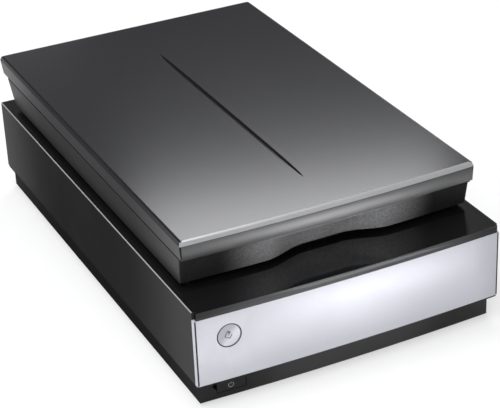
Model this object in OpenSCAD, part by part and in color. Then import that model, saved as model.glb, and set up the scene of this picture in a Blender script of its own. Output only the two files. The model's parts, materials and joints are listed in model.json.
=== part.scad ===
// Flatbed film and photo scanner with a lift-up transparency lid.
// The origin is on the table, under the middle of the machine. +Z is up and the front faces -Y.

/* [Overall] */
// Depth over everything, from the bowed front to the back of the lid
overall_d = 503; // [490:1:540]
// Height of the closed lid above the deck
lid_h = 51; // [50:0.5:60]
// How far the lid reaches past the back of the base
lid_overhang = 6; // [3:0.5:8]

/* [Base case] */
// Width of the base
base_w = 308; // [306:1:340]
// Height of the deck that holds the glass
deck_z = 101; // [99:0.5:104]
// How far the middle of the front stands ahead of its ends
base_bow = 3.8; // [2:0.1:4.5]
// Wall thickness of the plastic shells
shell = 2.5; // [2:0.1:3]
// Height of the dark lip above the silver panel
lip_h = 7.5; // [5:0.5:10]
// Width of the dark notch at each end of the lip
lip_notch = 2.4; // [1:0.1:3]
// Chamfer along the upper side edges of the case
deck_chamfer = 0.8; // [0.3:0.1:1.2]
// Thickness of the silver front panel
panel_t = 4.4; // [3:0.1:5]
// Chamfer at each upright end of the silver panel
panel_chamfer = 1.3; // [0.5:0.1:2]
// Height of the silver panel's lower edge, where the plinth ends
plinth_z = 26.6; // [25:0.2:28]
// How far the plinth is set in at each side
plinth_side_in = 5.3; // [3.5:0.1:6]
// How far the plinth is set in behind the silver panel's face
plinth_front_in = 9.4; // [8:0.1:11]
// How far the plinth is set in at the back
plinth_rear_in = 3; // [2:0.1:4]
// Height of the rubber feet under the plinth
foot_h = 2.5; // [2:0.1:4]
// Radius of a rubber foot
foot_r = 9; // [6:0.5:12]
// Distance of the feet from the sides and ends of the plinth
foot_in = 24; // [18:1:40]
// Distance of the case screws from the base's sides
screw_side_in = 12; // [11:0.5:13]
// Distance of the case screws from the base's front and back
screw_end_in = 26; // [25:0.5:27]

/* [Glass] */
// Deck on each side of the scanning window
window_side = 46; // [44:1:50]
// Deck in front of the scanning window
window_fore = 85; // [83:1:88]
// Deck behind the scanning window
window_aft = 115; // [113:1:120]
// Width of the scale strip round the window
bezel_w = 10.6; // [8:0.2:12]
// Thickness of the scale strip
bezel_t = 2.2; // [1.5:0.1:2.4]
// Thickness of the glass
glass_t = 3; // [2.5:0.5:4]
// How far the glass runs under the deck
glass_grip = 6; // [4:0.5:7]
// Spacing of the engraved scale lines
tick_pitch = 10; // [5:5:20]

/* [Buttons] */
// Radius of the start button's hole
start_hole_r = 11; // [9:0.5:12]
// Gap round the start button
button_gap = 0.4; // [0.3:0.1:0.6]
// Distance of the start button from the base's left side
start_in = 32; // [29:1:44]
// Distance of the start button below the deck
start_down = 30; // [27:1:36]
// How far both buttons travel
button_travel = 1.5; // [1:0.1:1.8]
// Width of the power button
power_w = 28; // [24:0.5:30]
// Height of the power button
power_h = 12; // [10:0.5:12]
// Distance of the power button's middle from the base's left side
power_in = 35.6; // [34:0.2:42]
// Height of the power button's middle
power_z = 14.4; // [14:0.1:15]
// Open line above the power button
power_top_gap = 0.9; // [0.5:0.1:1.2]
// Width of the status light's notch beside the power button
light_notch_w = 4.2; // [3.6:0.1:4.6]

/* [Scan carriage] */
// Depth of the carriage along its travel
carriage_d = 100; // [96:1:102]
// How far the carriage reaches past the window on each side
carriage_over = 10; // [7:0.5:11]
// Depth of the carriage's floor below the deck
carriage_down = 61; // [59:0.5:62]
// Height of the carriage box without its cover
carriage_h = 48; // [46:0.5:49]
// Wall thickness of the carriage
carriage_wall = 2; // [1.6:0.1:2.4]
// How much shorter the carriage's travel is than the window
travel_less = 2; // [1:0.5:15]
// Thickness of the carriage's cover
cover_t = 2; // [1.5:0.1:2.5]
// Width of the light slit in the carriage's cover
slit_w = 5; // [3:0.5:7]
// Distance between the two lens positions
lens_shift = 28; // [26:1:30]
// Radius of a lens barrel
lens_r = 10; // [8:0.5:10.5]
// Length of a lens barrel
lens_len = 24; // [20:1:26]

/* [Carriage drive] */
// Radius of the guide shaft
shaft_r = 4; // [3:0.5:4.5]
// Distance of the guide shaft and the support rail from the base's sides
shaft_in = 54; // [50:1:56]
// Distance of the guide shaft's axis below the carriage's floor
shaft_down = 10; // [9.5:0.1:10.5]
// Distance of the drive belt's middle from the guide shaft
belt_off = 28; // [27:0.5:30]
// Width of the belts
belt_w = 6; // [5:0.5:6]
// Thickness of the belts
belt_t = 1.2; // [1:0.1:1.5]
// Radius of the pulleys under the scan carriage
pulley_r = 8; // [7:0.5:9]
// Module of the gear teeth
gear_m = 0.6; // [0.5:0.05:0.65]
// Teeth of the motor's pinion
pinion_teeth = 18; // [17:1:20]
// Teeth of the drive gear
gear_teeth = 54; // [50:1:56]
// Radius of the stepper motor's can
motor_r = 17; // [15:0.5:18]

/* [Hinges] */
// Distance of each hinge's middle from the base's sides
hinge_side = 44; // [42:1:48]
// Width of a hinge post
post_w = 20; // [18:0.5:22]
// Thickness of a hinge post
post_t = 10; // [8:0.5:11]
// Height of the hinge axis above the deck
hinge_up = 17; // [16.5:0.1:18]
// Distance of the hinge axis from the back of the base
hinge_in = 16.5; // [16:0.1:17]
// Radius of a hinge pin
pin_r = 2.5; // [2:0.1:3]
// Height of the sockets' lower ends
socket_z = 48.5; // [46.5:0.5:53.5]

/* [Lid] */
// How far the lid is set in on each side
lid_in = 6; // [4:0.5:9]
// Distance from the base's front to the lid's front
lid_setback = 34.7; // [30:0.5:40]
// How far the middle of the lid's front stands ahead of its ends
lid_bow = 3.6; // [2:0.1:4.5]
// Height of the lid's rim and front fascia below the top
rim_h = 18.5; // [17:0.5:20]
// Height of the bevel round the lid's top
bevel_h = 4.4; // [3:0.2:5.5]
// How far the bevel runs in over its height
bevel_in = 3; // [2:0.2:4]
// Open line between the lid's lower edge and the deck
lid_gap = 4.6; // [4.4:0.1:5]
// How far the back of the rim slopes in over its height
rim_rear_slope = 4.6; // [3:0.2:5]
// Step from the rim to the skirt at the front
skirt_front_step = 5.7; // [4:0.1:7]
// Step from the rim to the skirt at the back
skirt_rear_step = 9.5; // [9:0.1:10]
// How far the skirt slopes in at the front
skirt_front_slope = 4.6; // [3:0.1:6]
// How far the skirt slopes in at the back
skirt_rear_slope = 17; // [15:0.2:18]
// How far the rim and the skirt each slope in at the sides
side_slope = 1; // [0.5:0.1:1.5]
// Depth of the finger recess in the skirt's front
recess_d = 12; // [8:0.5:14]
// Half the width of the finger recess
recess_half_w = 65; // [50:1:75]
// Half the width of the recess's level middle
recess_flat = 18; // [10:1:25]
// Distance of the slim groove from the front of the lid
groove_fore = 56.5; // [30:0.5:120]
// Distance of the groove from the back of the lid
groove_aft = 81.8; // [30:0.2:150]
// Width of the groove
groove_w = 5; // [3:0.5:8]
// Depth of the groove
groove_depth = 1.4; // [0.8:0.1:1.6]
// Thickness of the fascia
fascia_t = 1.6; // [1.2:0.1:1.9]

/* [Film lamp] */
// How much narrower the film window is than the scanning window, on each side
film_side_in = 5; // [4:0.5:13]
// How much shorter the film window is than the scanning window, at each end
film_end_in = 20; // [18:1:28]
// Thickness of the film window's pane
film_t = 2; // [1.5:0.5:3]
// Depth of the lamp carriage along its travel
lamp_d = 40; // [36:1:42]
// How much shorter the lamp's travel is than the film window
lamp_less = 17; // [13:1:37]
// Radius of the lid's guide shaft
lid_shaft_r = 3; // [2.5:0.5:3.5]
// Radius of the lid's pulleys
lid_pulley_r = 6; // [5:0.5:6.5]

/* [Document mat] */
// How far the document mat reaches past the window on each side
mat_over_x = 16; // [10:1:18]
// How far the document mat reaches past the window at each end
mat_over_y = 17.5; // [6:0.5:19.5]
// Thickness of the mat's tray
mat_t = 3; // [2.4:0.1:3.1]

/* [Hidden] */
$fn = 64;

// Fits between the pieces
fit = 0.3;       // gap between loose pieces
run = 0.05;      // radial clearance of a turning or sliding shaft
belt_run = 0.1;  // gap between a belt and its pulley
cut = 1;         // how far a cutter reaches past the face it cuts

// Base
overall_h = deck_z + lid_h;
front_y = -overall_d / 2;
rear_y = overall_d / 2 - lid_overhang;
bow_r = (base_w * base_w / 4 + base_bow * base_bow) / (2 * base_bow);
panel_z = deck_z - lip_h;
deck_low = deck_z - shell;
floor_z = foot_h + shell;
plinth_w = base_w - 2 * plinth_side_in;
plinth_front = front_y + plinth_front_in;
plinth_rear = rear_y - plinth_rear_in;
shelf_t = shell;
shelf_in = 0.6;
shelf_front_in = 1.5;
front_wall_t = 2;
front_wall_y = front_y + panel_t;
screw_x = base_w / 2 - screw_side_in;
screw_y = [front_y + screw_end_in, rear_y - screw_end_in + 4];
screw_r = 1.4;
screw_head_r = 3.2;
screw_head_t = 2;
screw_bite = 8;
column_r = 4;
foot_lip = 2;

// Glass
window_w = base_w - 2 * window_side;
window_d = rear_y - front_y - window_fore - window_aft;
window_y = (front_y + window_fore + rear_y - window_aft) / 2;
glass_w = window_w + 2 * (bezel_w + glass_grip);
glass_d = window_d + 2 * (bezel_w + glass_grip);
glass_z = deck_low - glass_t;

// Buttons
start_x = start_in - base_w / 2;
start_z = deck_z - start_down;
power_x = power_in - base_w / 2;
start_face_y = bowed_y(start_x) + fit;
start_r = start_hole_r - button_gap;
start_back_y = bowed_y(abs(start_x) + start_hole_r + 2) + panel_t + front_wall_t;
collar_t = 1.5;
switch_gap = button_travel + 0.1;
power_back_y = bowed_y(abs(power_x) + power_w) + plinth_front_in + shell;

// Carriage
carriage_w = window_w + 2 * carriage_over;
carriage_z = deck_z - carriage_down;
carriage_travel = window_d - travel_less;
slit_y = window_y - window_d / 2 + 2;
carriage_y = slit_y - carriage_d / 2;
carriage_top = carriage_z + carriage_h;
bush_r = shaft_r + 3;
bush_l = 12;
bush_in = 8;
lug_w = 18;
shaft_x = shaft_in - base_w / 2;
shaft_z = carriage_z - shaft_down;
rail_x = base_w / 2 - shaft_in;
rail_t = 3;
shoe_h = 6;
shoe_in = 34;
shaft_front = carriage_y - 13;
shaft_rear = rear_y - 9.5;
clamp_l = 10;
clamp_half_w = 10;
clamp_wall = 3;
lens_z = carriage_z + 30;
lens_rail_z = lens_z - lens_r - 3;
lens_front = carriage_y + 17;

// Carriage drive
belt_x = shaft_x + belt_off;
belt_z = shaft_z - 4;
drive_y = rear_y - 40.5;
idler_y = front_y + 26.5;
pinion_y = drive_y;
gear_clear = 0.1;
axle_r = 2;
motor_shaft_r = 1.5;
gear_x = belt_x + gear_m * (pinion_teeth + gear_teeth) / 2 + gear_clear;
gear_t = 4;
gear_z = belt_z - gear_t - 2;
motor_top = gear_z - 1;
clamp_gap = 0.4;

// Electronics at the back
board_x = [gear_x + motor_r + 5.3, base_w / 2 - 24];
board_y = [rear_y - 55.5, rear_y - 6.5];
board_z = 30;
board_t = 1.6;
pillar_r = 3.5;
pillar_in = 5;
switch_w = 6;
switch_h = 2.4;
port_face_y = rear_y - fit;

// Hinges
hinge_x = base_w / 2 - hinge_side;
hinge_y = rear_y - hinge_in;
hinge_z = deck_z + hinge_up;
knuckle_r = post_t / 2;
socket_wall = 3;
post_low = socket_z + 4;
ear_t = 4;
ear_reach = 34;
ear_root = 14;
ear_gap = 0.4;

// Lid
lid_w = base_w - 2 * lid_in;
lid_front = front_y + lid_setback;
lid_rear = overall_d / 2;
rim_z = overall_h - rim_h;
bevel_z = overall_h - bevel_h;
lid_low = deck_z + lid_gap;
lid_top_low = overall_h - shell;
frame_z = lid_low + shell;
film_w = window_w - 2 * film_side_in;
film_d = window_d - 2 * film_end_in;
lamp_travel = film_d - lamp_less;
pane_lap = 7;
film_pane_w = film_w + 2 * pane_lap;
film_pane_d = film_d + 2 * pane_lap;
lid_screw_x = lid_w / 2 - 12;
lid_head_t = 1.8;
lid_bite = 11;
lid_screw_y = [lid_front + 35, lid_rear - 61.5];
bumper_r = 4;
bumper_y = [lid_front + 20, lid_rear - 48.5];
lid_shaft_x = 23 - lid_w / 2;
lid_shaft_z = frame_z + 16;
lid_rail_x = film_pane_w / 2 + 4;
lamp_y = window_y - film_d / 2 - 4;
lid_belt_x = lid_w / 2 - 19;
lid_belt_z = lid_shaft_z - 4.1;
lid_motor_r = 13;
lid_drive_y = lamp_y + lamp_d + lamp_travel + 20.5;
lid_idler_y = lamp_y - 19.5;
mat_w = window_w + 2 * mat_over_x;
mat_d = window_d + 2 * mat_over_y;
mat_z = lid_low - fit - mat_t;
mat_y = window_y - mat_d / 2;

function bow_at(r, x) = r - sqrt(r * r - x * x);
function bowed_y(x) = front_y + bow_at(bow_r, x);

// Plan of a shape with the machine's bowed front
module bowed_plan(w, front, rear) {
    intersection() {
        translate([-w / 2, front])
            square([w, rear - front]);
        translate([0, front + bow_r])
            circle(r = bow_r, $fn = 1440);
    }
}

module bowed_block(w, front, rear, low, high) {
    translate([0, 0, low])
        linear_extrude(height = high - low)
            bowed_plan(w, front, rear);
}

// Box from two opposite corners
module box(low, high) {
    translate(low)
        cube(high - low);
}

// Cylinder along Y from one depth to another
module rod_y(r, x, z, low, high) {
    translate([x, low, z])
        rotate([-90, 0, 0])
            cylinder(r = r, h = high - low);
}

// Cylinder along X from one side to another
module rod_x(r, y, z, low, high) {
    translate([low, y, z])
        rotate([0, 90, 0])
            cylinder(r = r, h = high - low);
}

module rod_z(r, x, y, low, high) {
    translate([x, y, low])
        cylinder(r = r, h = high - low);
}

module at_case_screws() {
    for (x = [-screw_x, screw_x], y = screw_y)
        translate([x, y, 0])
            children();
}

module at_lid_screws() {
    for (x = [-lid_screw_x, lid_screw_x], y = lid_screw_y)
        translate([x, y, 0])
            children();
}

// Base case

module base_tray() {
    color("#2c2c2c")
    difference() {
        union() {
            bowed_block(plinth_w, plinth_front, plinth_rear, foot_h, plinth_z);
            bowed_block(base_w - 2 * shelf_in, front_y + shelf_front_in, rear_y - shelf_in,
                plinth_z - shelf_t, plinth_z);
        }
        difference() {
            bowed_block(plinth_w - 2 * shell, plinth_front + shell, plinth_rear - shell,
                floor_z, plinth_z + cut);
            at_case_screws()
                cylinder(r = column_r + 1, h = plinth_z);
            board_pillars(0, plinth_z);
        }
        at_case_screws() {
            cylinder(r = screw_head_r + fit, h = floor_z + screw_head_t);
            cylinder(r = screw_r + run, h = plinth_z + cut);
        }
        power_opening();
        at_feet()
            cylinder(r = foot_r - foot_lip, h = foot_h + foot_lip / 2);
    }
    color("#2c2c2c")
    board_pillars(plinth_z, board_z);
}

module board_pillars(low, high) {
    for (x = [board_x[0] + pillar_in, board_x[1] - pillar_in],
         y = [board_y[0] + pillar_in, board_y[1] - pillar_in + 1])
        rod_z(pillar_r, x, y, low, high);
}

module power_opening() {
    low_z = power_z - power_h / 2 - button_gap;
    high_z = power_z + power_h / 2 + power_top_gap;
    left = power_x - power_w / 2 - button_gap;
    box([left, plinth_front - cut, low_z],
        [power_x + power_w / 2 + button_gap, plinth_front + plinth_front_in, high_z]);
    translate([left + 0.1, plinth_front - cut, 0])
        rotate([-90, 0, 0])
            linear_extrude(height = plinth_front_in)
                polygon([
                    [0, -high_z],
                    [-light_notch_w, -high_z],
                    [-light_notch_w, -high_z + light_notch_h],
                    [0, -high_z + light_notch_h + 5.5]
                ]);
}

module upper_housing() {
    color("#333333")
    difference() {
        bowed_block(base_w, front_y, rear_y, plinth_z, deck_z);
        difference() {
            bowed_block(base_w - 2 * shell, front_wall_y + front_wall_t, rear_y - shell,
                plinth_z - cut, deck_low);
            at_case_screws()
                cylinder(r = column_r, h = deck_z);
            for (side = [-1, 1])
                rod_y(start_boss_r, start_x + side * start_boss_off, start_z, front_y, start_board_y());
        }
        difference() {
            bowed_block(base_w + cut, front_y - cut, rear_y, plinth_z - cut, panel_z);
            bowed_block(base_w + 2 * cut, front_wall_y, rear_y + cut, plinth_z - 2 * cut, panel_z + cut);
        }
        for (side = [-1, 1]) {
            translate([side * base_w / 2, front_y, panel_z - cut])
                translate([-lip_notch, 0, 0])
                    cube([2 * lip_notch, panel_t + base_bow - 0.2, lip_h + 2 * cut]);
            translate([side * base_w / 2, 0, deck_z])
                rotate([0, 45, 0])
                    cube([deck_chamfer * sqrt(2), overall_d + cut, deck_chamfer * sqrt(2)], center = true);
        }
        box([-window_w / 2 - bezel_w, window_y - window_d / 2 - bezel_w, deck_low - cut],
            [window_w / 2 + bezel_w, window_y + window_d / 2 + bezel_w, deck_z + cut]);
        rod_y(start_hole_r, start_x, start_z, front_y, start_back_y + cut);
        at_case_screws()
            cylinder(r = screw_r, h = plinth_z + screw_bite + 6);
        for (side = [-1, 1])
            box([side * hinge_x - post_w / 2 - fit, hinge_y - post_t / 2 - fit, deck_low - cut],
                [side * hinge_x + post_w / 2 + fit, hinge_y + post_t / 2 + fit, deck_z + cut]);
        port_holes();
        rod_y(lock_r + fit, lock_x, lock_z, rear_y - shell - cut, rear_y + cut);
    }
}

module front_panel() {
    color("#dcdce2")
    difference() {
        bowed_block(base_w, front_y, front_y + panel_t + base_bow + cut, plinth_z, panel_z);
        bowed_block(base_w + cut, front_wall_y, rear_y, plinth_z - cut, panel_z + cut);
        rod_y(start_hole_r, start_x, start_z, front_y - cut, start_back_y);
        for (side = [-1, 1])
            translate([side * base_w / 2, bowed_y(base_w / 2), (plinth_z + panel_z) / 2])
                rotate([0, 0, 45])
                    cube([panel_chamfer * sqrt(2), panel_chamfer * sqrt(2), panel_z], center = true);
    }
}

module scan_glass() {
    color("#b8cdd0", 0.4)
    box([-glass_w / 2, window_y - glass_d / 2, glass_z],
        [glass_w / 2, window_y + glass_d / 2, deck_low]);
}

module glass_bezel() {
    tick_l = 3;
    tick_w = 0.4;
    tick_depth = 0.3;
    outer = [window_w / 2 + bezel_w - fit, window_d / 2 + bezel_w - fit];
    color("#d8d8d4")
    translate([0, window_y, 0])
        difference() {
            box([-outer[0], -outer[1], deck_low], [outer[0], outer[1], deck_low + bezel_t]);
            box([-window_w / 2, -window_d / 2, deck_low - cut],
                [window_w / 2, window_d / 2, deck_z + cut]);
            for (x = [tick_pitch : tick_pitch : window_w - tick_pitch])
                translate([x - window_w / 2, window_d / 2 + tick_l, deck_low + bezel_t])
                    cube([tick_w, tick_l, 2 * tick_depth], center = true);
            for (y = [tick_pitch : tick_pitch : window_d - tick_pitch])
                translate([-window_w / 2 - tick_l, y - window_d / 2, deck_low + bezel_t])
                    cube([tick_l, tick_w, 2 * tick_depth], center = true);
        }
}

// Switch boards and buttons

collar_y = start_back_y + fit;
start_boss_r = 2.5;
start_boss_off = 17;
function start_board_y() = collar_y + 2 * collar_t + switch_gap + switch_h;

module push_switch(x, board_face_y, z) {
    color("#2a2a2a")
    translate([x - switch_w / 2, board_face_y - switch_h, z - switch_w / 2])
        cube([switch_w, switch_h, switch_w]);
}

module start_board() {
    half_w = start_boss_off + start_boss_r + 0.5;
    half_h = 8;
    color("#1f5a35")
    box([start_x - half_w, start_board_y(), start_z - half_h],
        [start_x + half_w, start_board_y() + board_t, start_z + half_h]);
    push_switch(start_x, start_board_y(), start_z);
}

module start_button() {
    dish_r = 60;
    dish_depth = 0.9;
    stem_r = 3;
    color("#cfcfd4")
    difference() {
        union() {
            rod_y(start_r, start_x, start_z, start_face_y, collar_y + collar_t);
            rod_y(start_r + 2, start_x, start_z, collar_y, collar_y + collar_t);
            rod_y(stem_r, start_x, start_z, collar_y, collar_y + 2 * collar_t);
        }
        translate([start_x, start_face_y + dish_depth - dish_r, start_z])
            sphere(r = dish_r, $fn = 180);
    }
}

power_flange_y = power_back_y + fit;
power_board_y = power_flange_y + collar_t + switch_gap + switch_h;
light_w = 1.6;
light_notch_h = 4.5;
light_low = power_z + power_h / 2 + power_top_gap - light_notch_h + 0.1;
light_x = power_x - power_w / 2 - button_gap - light_notch_w / 2 - 1;

module power_board() {
    color("#1f5a35")
    box([light_x - light_w / 2 - 0.1, power_board_y, floor_z],
        [shaft_x - clamp_half_w - fit, power_board_y + board_t, plinth_z - shelf_t - cut]);
    push_switch(power_x, power_board_y, power_z);
}

module status_light() {
    color("#50605a")
    box([light_x - light_w / 2, bowed_y(light_x) + plinth_front_in + 1.2, light_low],
        [light_x + light_w / 2, power_board_y, power_z + power_h / 2 - 0.6]);
}

module power_button() {
    half_w = power_w / 2;
    color("#343434")
    union() {
        translate([power_x, bowed_y(power_x) + plinth_front_in + 0.1, power_z])
            rotate([0, 0, asin(power_x / bow_r)])
                translate([-half_w, 0, -power_h / 2])
                    cube([power_w, power_flange_y - bowed_y(power_x) - plinth_front_in, power_h]);
        box([power_x - half_w - 1, power_flange_y, power_z - power_h / 2 - 1.4],
            [power_x + half_w + 1, power_flange_y + collar_t, power_z + power_h / 2 + 1.6]);
    }
}

// Electronics and sockets at the back

port_pitch = 40;
power_port_x = base_w / 2 - 54;
usb_port_x = power_port_x - port_pitch;
lid_port_x = usb_port_x - port_pitch;
port_low = board_z + board_t;
power_port = [10, 12];
usb_port_size = [12, 11];
lid_port_size = [14, 13];
port_deep = 14;

module port_hole(x, size) {
    box([x - size[0] / 2 - fit, rear_y - shell - cut, port_low - fit],
        [x + size[0] / 2 + fit, rear_y + cut, port_low + size[1] + fit]);
}

module port_holes() {
    port_hole(power_port_x, power_port);
    port_hole(usb_port_x, usb_port_size);
    port_hole(lid_port_x, lid_port_size);
}

module port_block(x, size, depth) {
    box([x - size[0] / 2, port_face_y - depth, port_low],
        [x + size[0] / 2, port_face_y, port_low + size[1]]);
}

module main_board() {
    chip = [16, 12, 2.2];
    chip_xs = [board_x[0] + 28, board_x[1] - 92, board_x[1] - 46];
    can_r = 3;
    can_h = 9;
    can_xs = [board_x[1] - 18, board_x[1] - 10];
    color("#1f5a35")
    box([board_x[0], board_y[0], board_z], [board_x[1], board_y[1], port_low]);
    color("#222222") {
        for (x = chip_xs)
            translate([x, board_y[0] + chip[1], port_low])
                cube(chip);
        for (x = can_xs)
            rod_z(can_r, x, board_y[0] + 1.5 * chip[1], port_low, port_low + can_h);
    }
}

module power_inlet() {
    jack_z = port_low + power_port[1] / 2;
    color("#202020")
    difference() {
        port_block(power_port_x, power_port, port_deep);
        rod_y(3.2, power_port_x, jack_z, port_face_y - 10, port_face_y + cut);
    }
    color("#c8c8c8")
    rod_y(1, power_port_x, jack_z, port_face_y - 10.5, port_face_y - 1);
}

module usb_port() {
    middle = port_low + usb_port_size[1] / 2;
    color("#b8b8b8")
    difference() {
        port_block(usb_port_x, usb_port_size, 16);
        box([usb_port_x - 4.2, port_face_y - 9, middle - 3.9],
            [usb_port_x + 4.2, port_face_y + cut, middle + 3.9]);
    }
    color("#f0f0f0")
    box([usb_port_x - 2.8, port_face_y - 9.5, middle - 1.6],
        [usb_port_x + 2.8, port_face_y - 1, middle + 1.6]);
}

module lid_port() {
    middle = port_low + lid_port_size[1] / 2;
    color("#202020")
    difference() {
        port_block(lid_port_x, lid_port_size, port_deep);
        rod_y(4.6, lid_port_x, middle, port_face_y - 6, port_face_y + cut);
    }
    color("#c8b060")
    for (a = [0 : 45 : 315])
        rod_y(0.5, lid_port_x + 2.8 * cos(a), middle + 2.8 * sin(a), port_face_y - 6.5, port_face_y - 1);
}

// Transport lock on the back

lock_r = 8;
lock_x = 94 - base_w / 2;
lock_z = deck_z - 41;

module lock_knob() {
    flange_y = rear_y - shell - fit;
    color("#3a3a3a")
    difference() {
        union() {
            rod_y(lock_r, lock_x, lock_z, flange_y - 2, rear_y - fit);
            rod_y(lock_r + 2, lock_x, lock_z, flange_y - 2, flange_y);
            box([lock_x - 2, flange_y - 10, lock_z - lock_r + 1],
                [lock_x + 2, flange_y - 1, lock_z + lock_r - 1]);
        }
        translate([lock_x, rear_y - fit, lock_z])
            cube([2 * lock_r - 4, 3.6, 1.8], center = true);
    }
}

// Carriage drive under the deck

module guide_shaft() {
    color("#c4c4c4")
    rod_y(shaft_r, shaft_x, shaft_z, shaft_front, shaft_rear);
}

module shaft_clamps() {
    color("#9a9a9a")
    for (low = [shaft_front, shaft_rear - clamp_l])
        difference() {
            box([shaft_x - clamp_half_w, low, floor_z],
                [shaft_x + clamp_half_w, low + clamp_l, shaft_z + shaft_r + clamp_wall]);
            rod_y(shaft_r, shaft_x, shaft_z, low - cut, low + clamp_l + cut);
        }
}

module support_rail() {
    rail_y = [carriage_y - 6, carriage_y + carriage_d + carriage_travel + 2];
    color("#b0b0b0") {
        box([rail_x - rail_t / 2, rail_y[0], floor_z],
            [rail_x + rail_t / 2, rail_y[1], carriage_z - shoe_h - fit]);
        box([rail_x - rail_t / 2, rail_y[0], floor_z],
            [rail_x + 12, rail_y[1], floor_z + 2]);
    }
}

module belt_loop(r, x, y0, y1, low) {
    translate([x, 0, low])
        linear_extrude(height = belt_w)
            difference() {
                belt_outline(r + belt_run + belt_t, y0, y1);
                belt_outline(r + belt_run, y0, y1);
            }
}

module belt_outline(r, y0, y1) {
    translate([-r, y0])
        square([2 * r, y1 - y0]);
    for (y = [y0, y1])
        translate([0, y])
            circle(r = r);
}

module drive_belt() {
    color("#1c1c1c")
    belt_loop(pulley_r, belt_x, idler_y, drive_y, belt_z);
}

module idler_bracket() {
    foot_half = 12;
    color("#b0b0b0") {
        box([belt_x - foot_half, idler_y - 9, floor_z],
            [belt_x + foot_half, idler_y + foot_half + 2, floor_z + 2]);
        rod_z(axle_r + 2, belt_x, idler_y, floor_z, belt_z - 1.5);
        rod_z(axle_r, belt_x, idler_y, floor_z, belt_z + belt_w + 2);
    }
}

module drive_axle() {
    color("#b0b0b0") {
        rod_z(axle_r + 1, belt_x, drive_y, floor_z, gear_z - fit);
        rod_z(axle_r, belt_x, drive_y, floor_z, belt_z + belt_w + 2);
    }
}

module pulley(x, y, low, r) {
    rod_z(r, x, y, low - 0.5, low + belt_w + 1.5);
    rod_z(r + belt_t + 1, x, y, low - 1.3, low - 0.5);
}

// Involute gear, with its teeth thinned a little for running clearance
function involute(rb, a) = [rb * (cos(a) + a * PI / 180 * sin(a)), rb * (sin(a) - a * PI / 180 * cos(a))];
function turned(p, a) = [p[0] * cos(a) - p[1] * sin(a), p[0] * sin(a) + p[1] * cos(a)];
function mirrored(p) = [p[0], -p[1]];

module gear_outline(teeth) {
    pressure = 20;
    backlash = 0.06;
    pitch_r = gear_m * teeth / 2;
    base_r = pitch_r * cos(pressure);
    tip_r = pitch_r + 0.9 * gear_m;
    root_r = pitch_r - 1.25 * gear_m;
    tip_a = sqrt(tip_r * tip_r / (base_r * base_r) - 1) * 180 / PI;
    half_a = 90 / teeth + (tan(pressure) - pressure * PI / 180) * 180 / PI - backlash / pitch_r * 90 / PI;
    flank = [for (i = [0 : 5]) turned(involute(base_r, tip_a * i / 5), -half_a)];
    tooth = concat([[root_r * cos(half_a), -root_r * sin(half_a)]], flank);
    union() {
        circle(r = root_r + 0.01, $fn = 120);
        for (i = [0 : teeth - 1])
            rotate(i * 360 / teeth)
                polygon(concat([[0, 0]], tooth, [for (j = [len(tooth) - 1 : -1 : 0]) mirrored(tooth[j])]));
    }
}

module drive_pulley() {
    color("#e4e0d0")
    difference() {
        union() {
            translate([belt_x, drive_y, gear_z])
                linear_extrude(height = gear_t)
                    gear_outline(gear_teeth);
            rod_z(pulley_r + 1, belt_x, drive_y, gear_z + gear_t, belt_z - 1);
            pulley(belt_x, drive_y, belt_z, pulley_r);
        }
        rod_z(axle_r + run, belt_x, drive_y, gear_z - cut, belt_z + belt_w + 3);
    }
}

module idler_pulley() {
    color("#e4e0d0")
    difference() {
        pulley(belt_x, idler_y, belt_z, pulley_r);
        rod_z(axle_r + run, belt_x, idler_y, belt_z - 3, belt_z + belt_w + 3);
    }
}

module stepper_motor() {
    color("#8c8c8c") {
        rod_z(motor_r, gear_x, pinion_y, floor_z, motor_top);
        rod_z(motor_shaft_r, gear_x, pinion_y, motor_top, gear_z + gear_t + 2);
    }
}

module motor_pinion() {
    // Half a tooth pitch puts a gap of the pinion at the drive gear's tooth
    color("#d0b060")
    translate([gear_x, pinion_y, gear_z])
        difference() {
            linear_extrude(height = gear_t)
                rotate(180 + 180 / pinion_teeth)
                    gear_outline(pinion_teeth);
            translate([0, 0, -cut])
                cylinder(r = motor_shaft_r + run, h = gear_t + 2 * cut);
        }
}

module hinge_sockets() {
    color("#383838")
    for (side = [-1, 1])
        translate([side * hinge_x, hinge_y, 0])
            difference() {
                box([-post_w / 2 - socket_wall, -post_t / 2 - socket_wall, socket_z],
                    [post_w / 2 + socket_wall, post_t / 2 + socket_wall, deck_low]);
                box([-post_w / 2 - fit, -post_t / 2 - fit, socket_z + socket_wall],
                    [post_w / 2 + fit, post_t / 2 + fit, deck_z]);
            }
}

module at_feet() {
    for (x = [-plinth_w / 2 + foot_in, plinth_w / 2 - foot_in],
         y = [plinth_front + foot_in, plinth_rear - foot_in])
        translate([x, y, 0])
            children();
}

module feet() {
    color("#1a1a1a")
    at_feet() {
        cylinder(r = foot_r, h = foot_h);
        cylinder(r = foot_r - foot_lip - run, h = foot_h + foot_lip / 2);
    }
}

// Cutter for a screw head's cross, to a depth below the head's face
module cross_slot(w, depth) {
    for (a = [0, 90])
        rotate(a)
            cube([w, 0.8, 2 * depth], center = true);
}

module case_screws() {
    color("#707070")
    at_case_screws()
        difference() {
            union() {
                translate([0, 0, floor_z + fit])
                    cylinder(r = screw_head_r, h = screw_head_t - fit);
                translate([0, 0, floor_z + screw_head_t - fit])
                    cylinder(r = screw_r - run, h = plinth_z - floor_z + screw_bite);
            }
            translate([0, 0, floor_z + fit])
                cross_slot(4.2, 0.8);
        }
}

// Scan carriage

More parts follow.
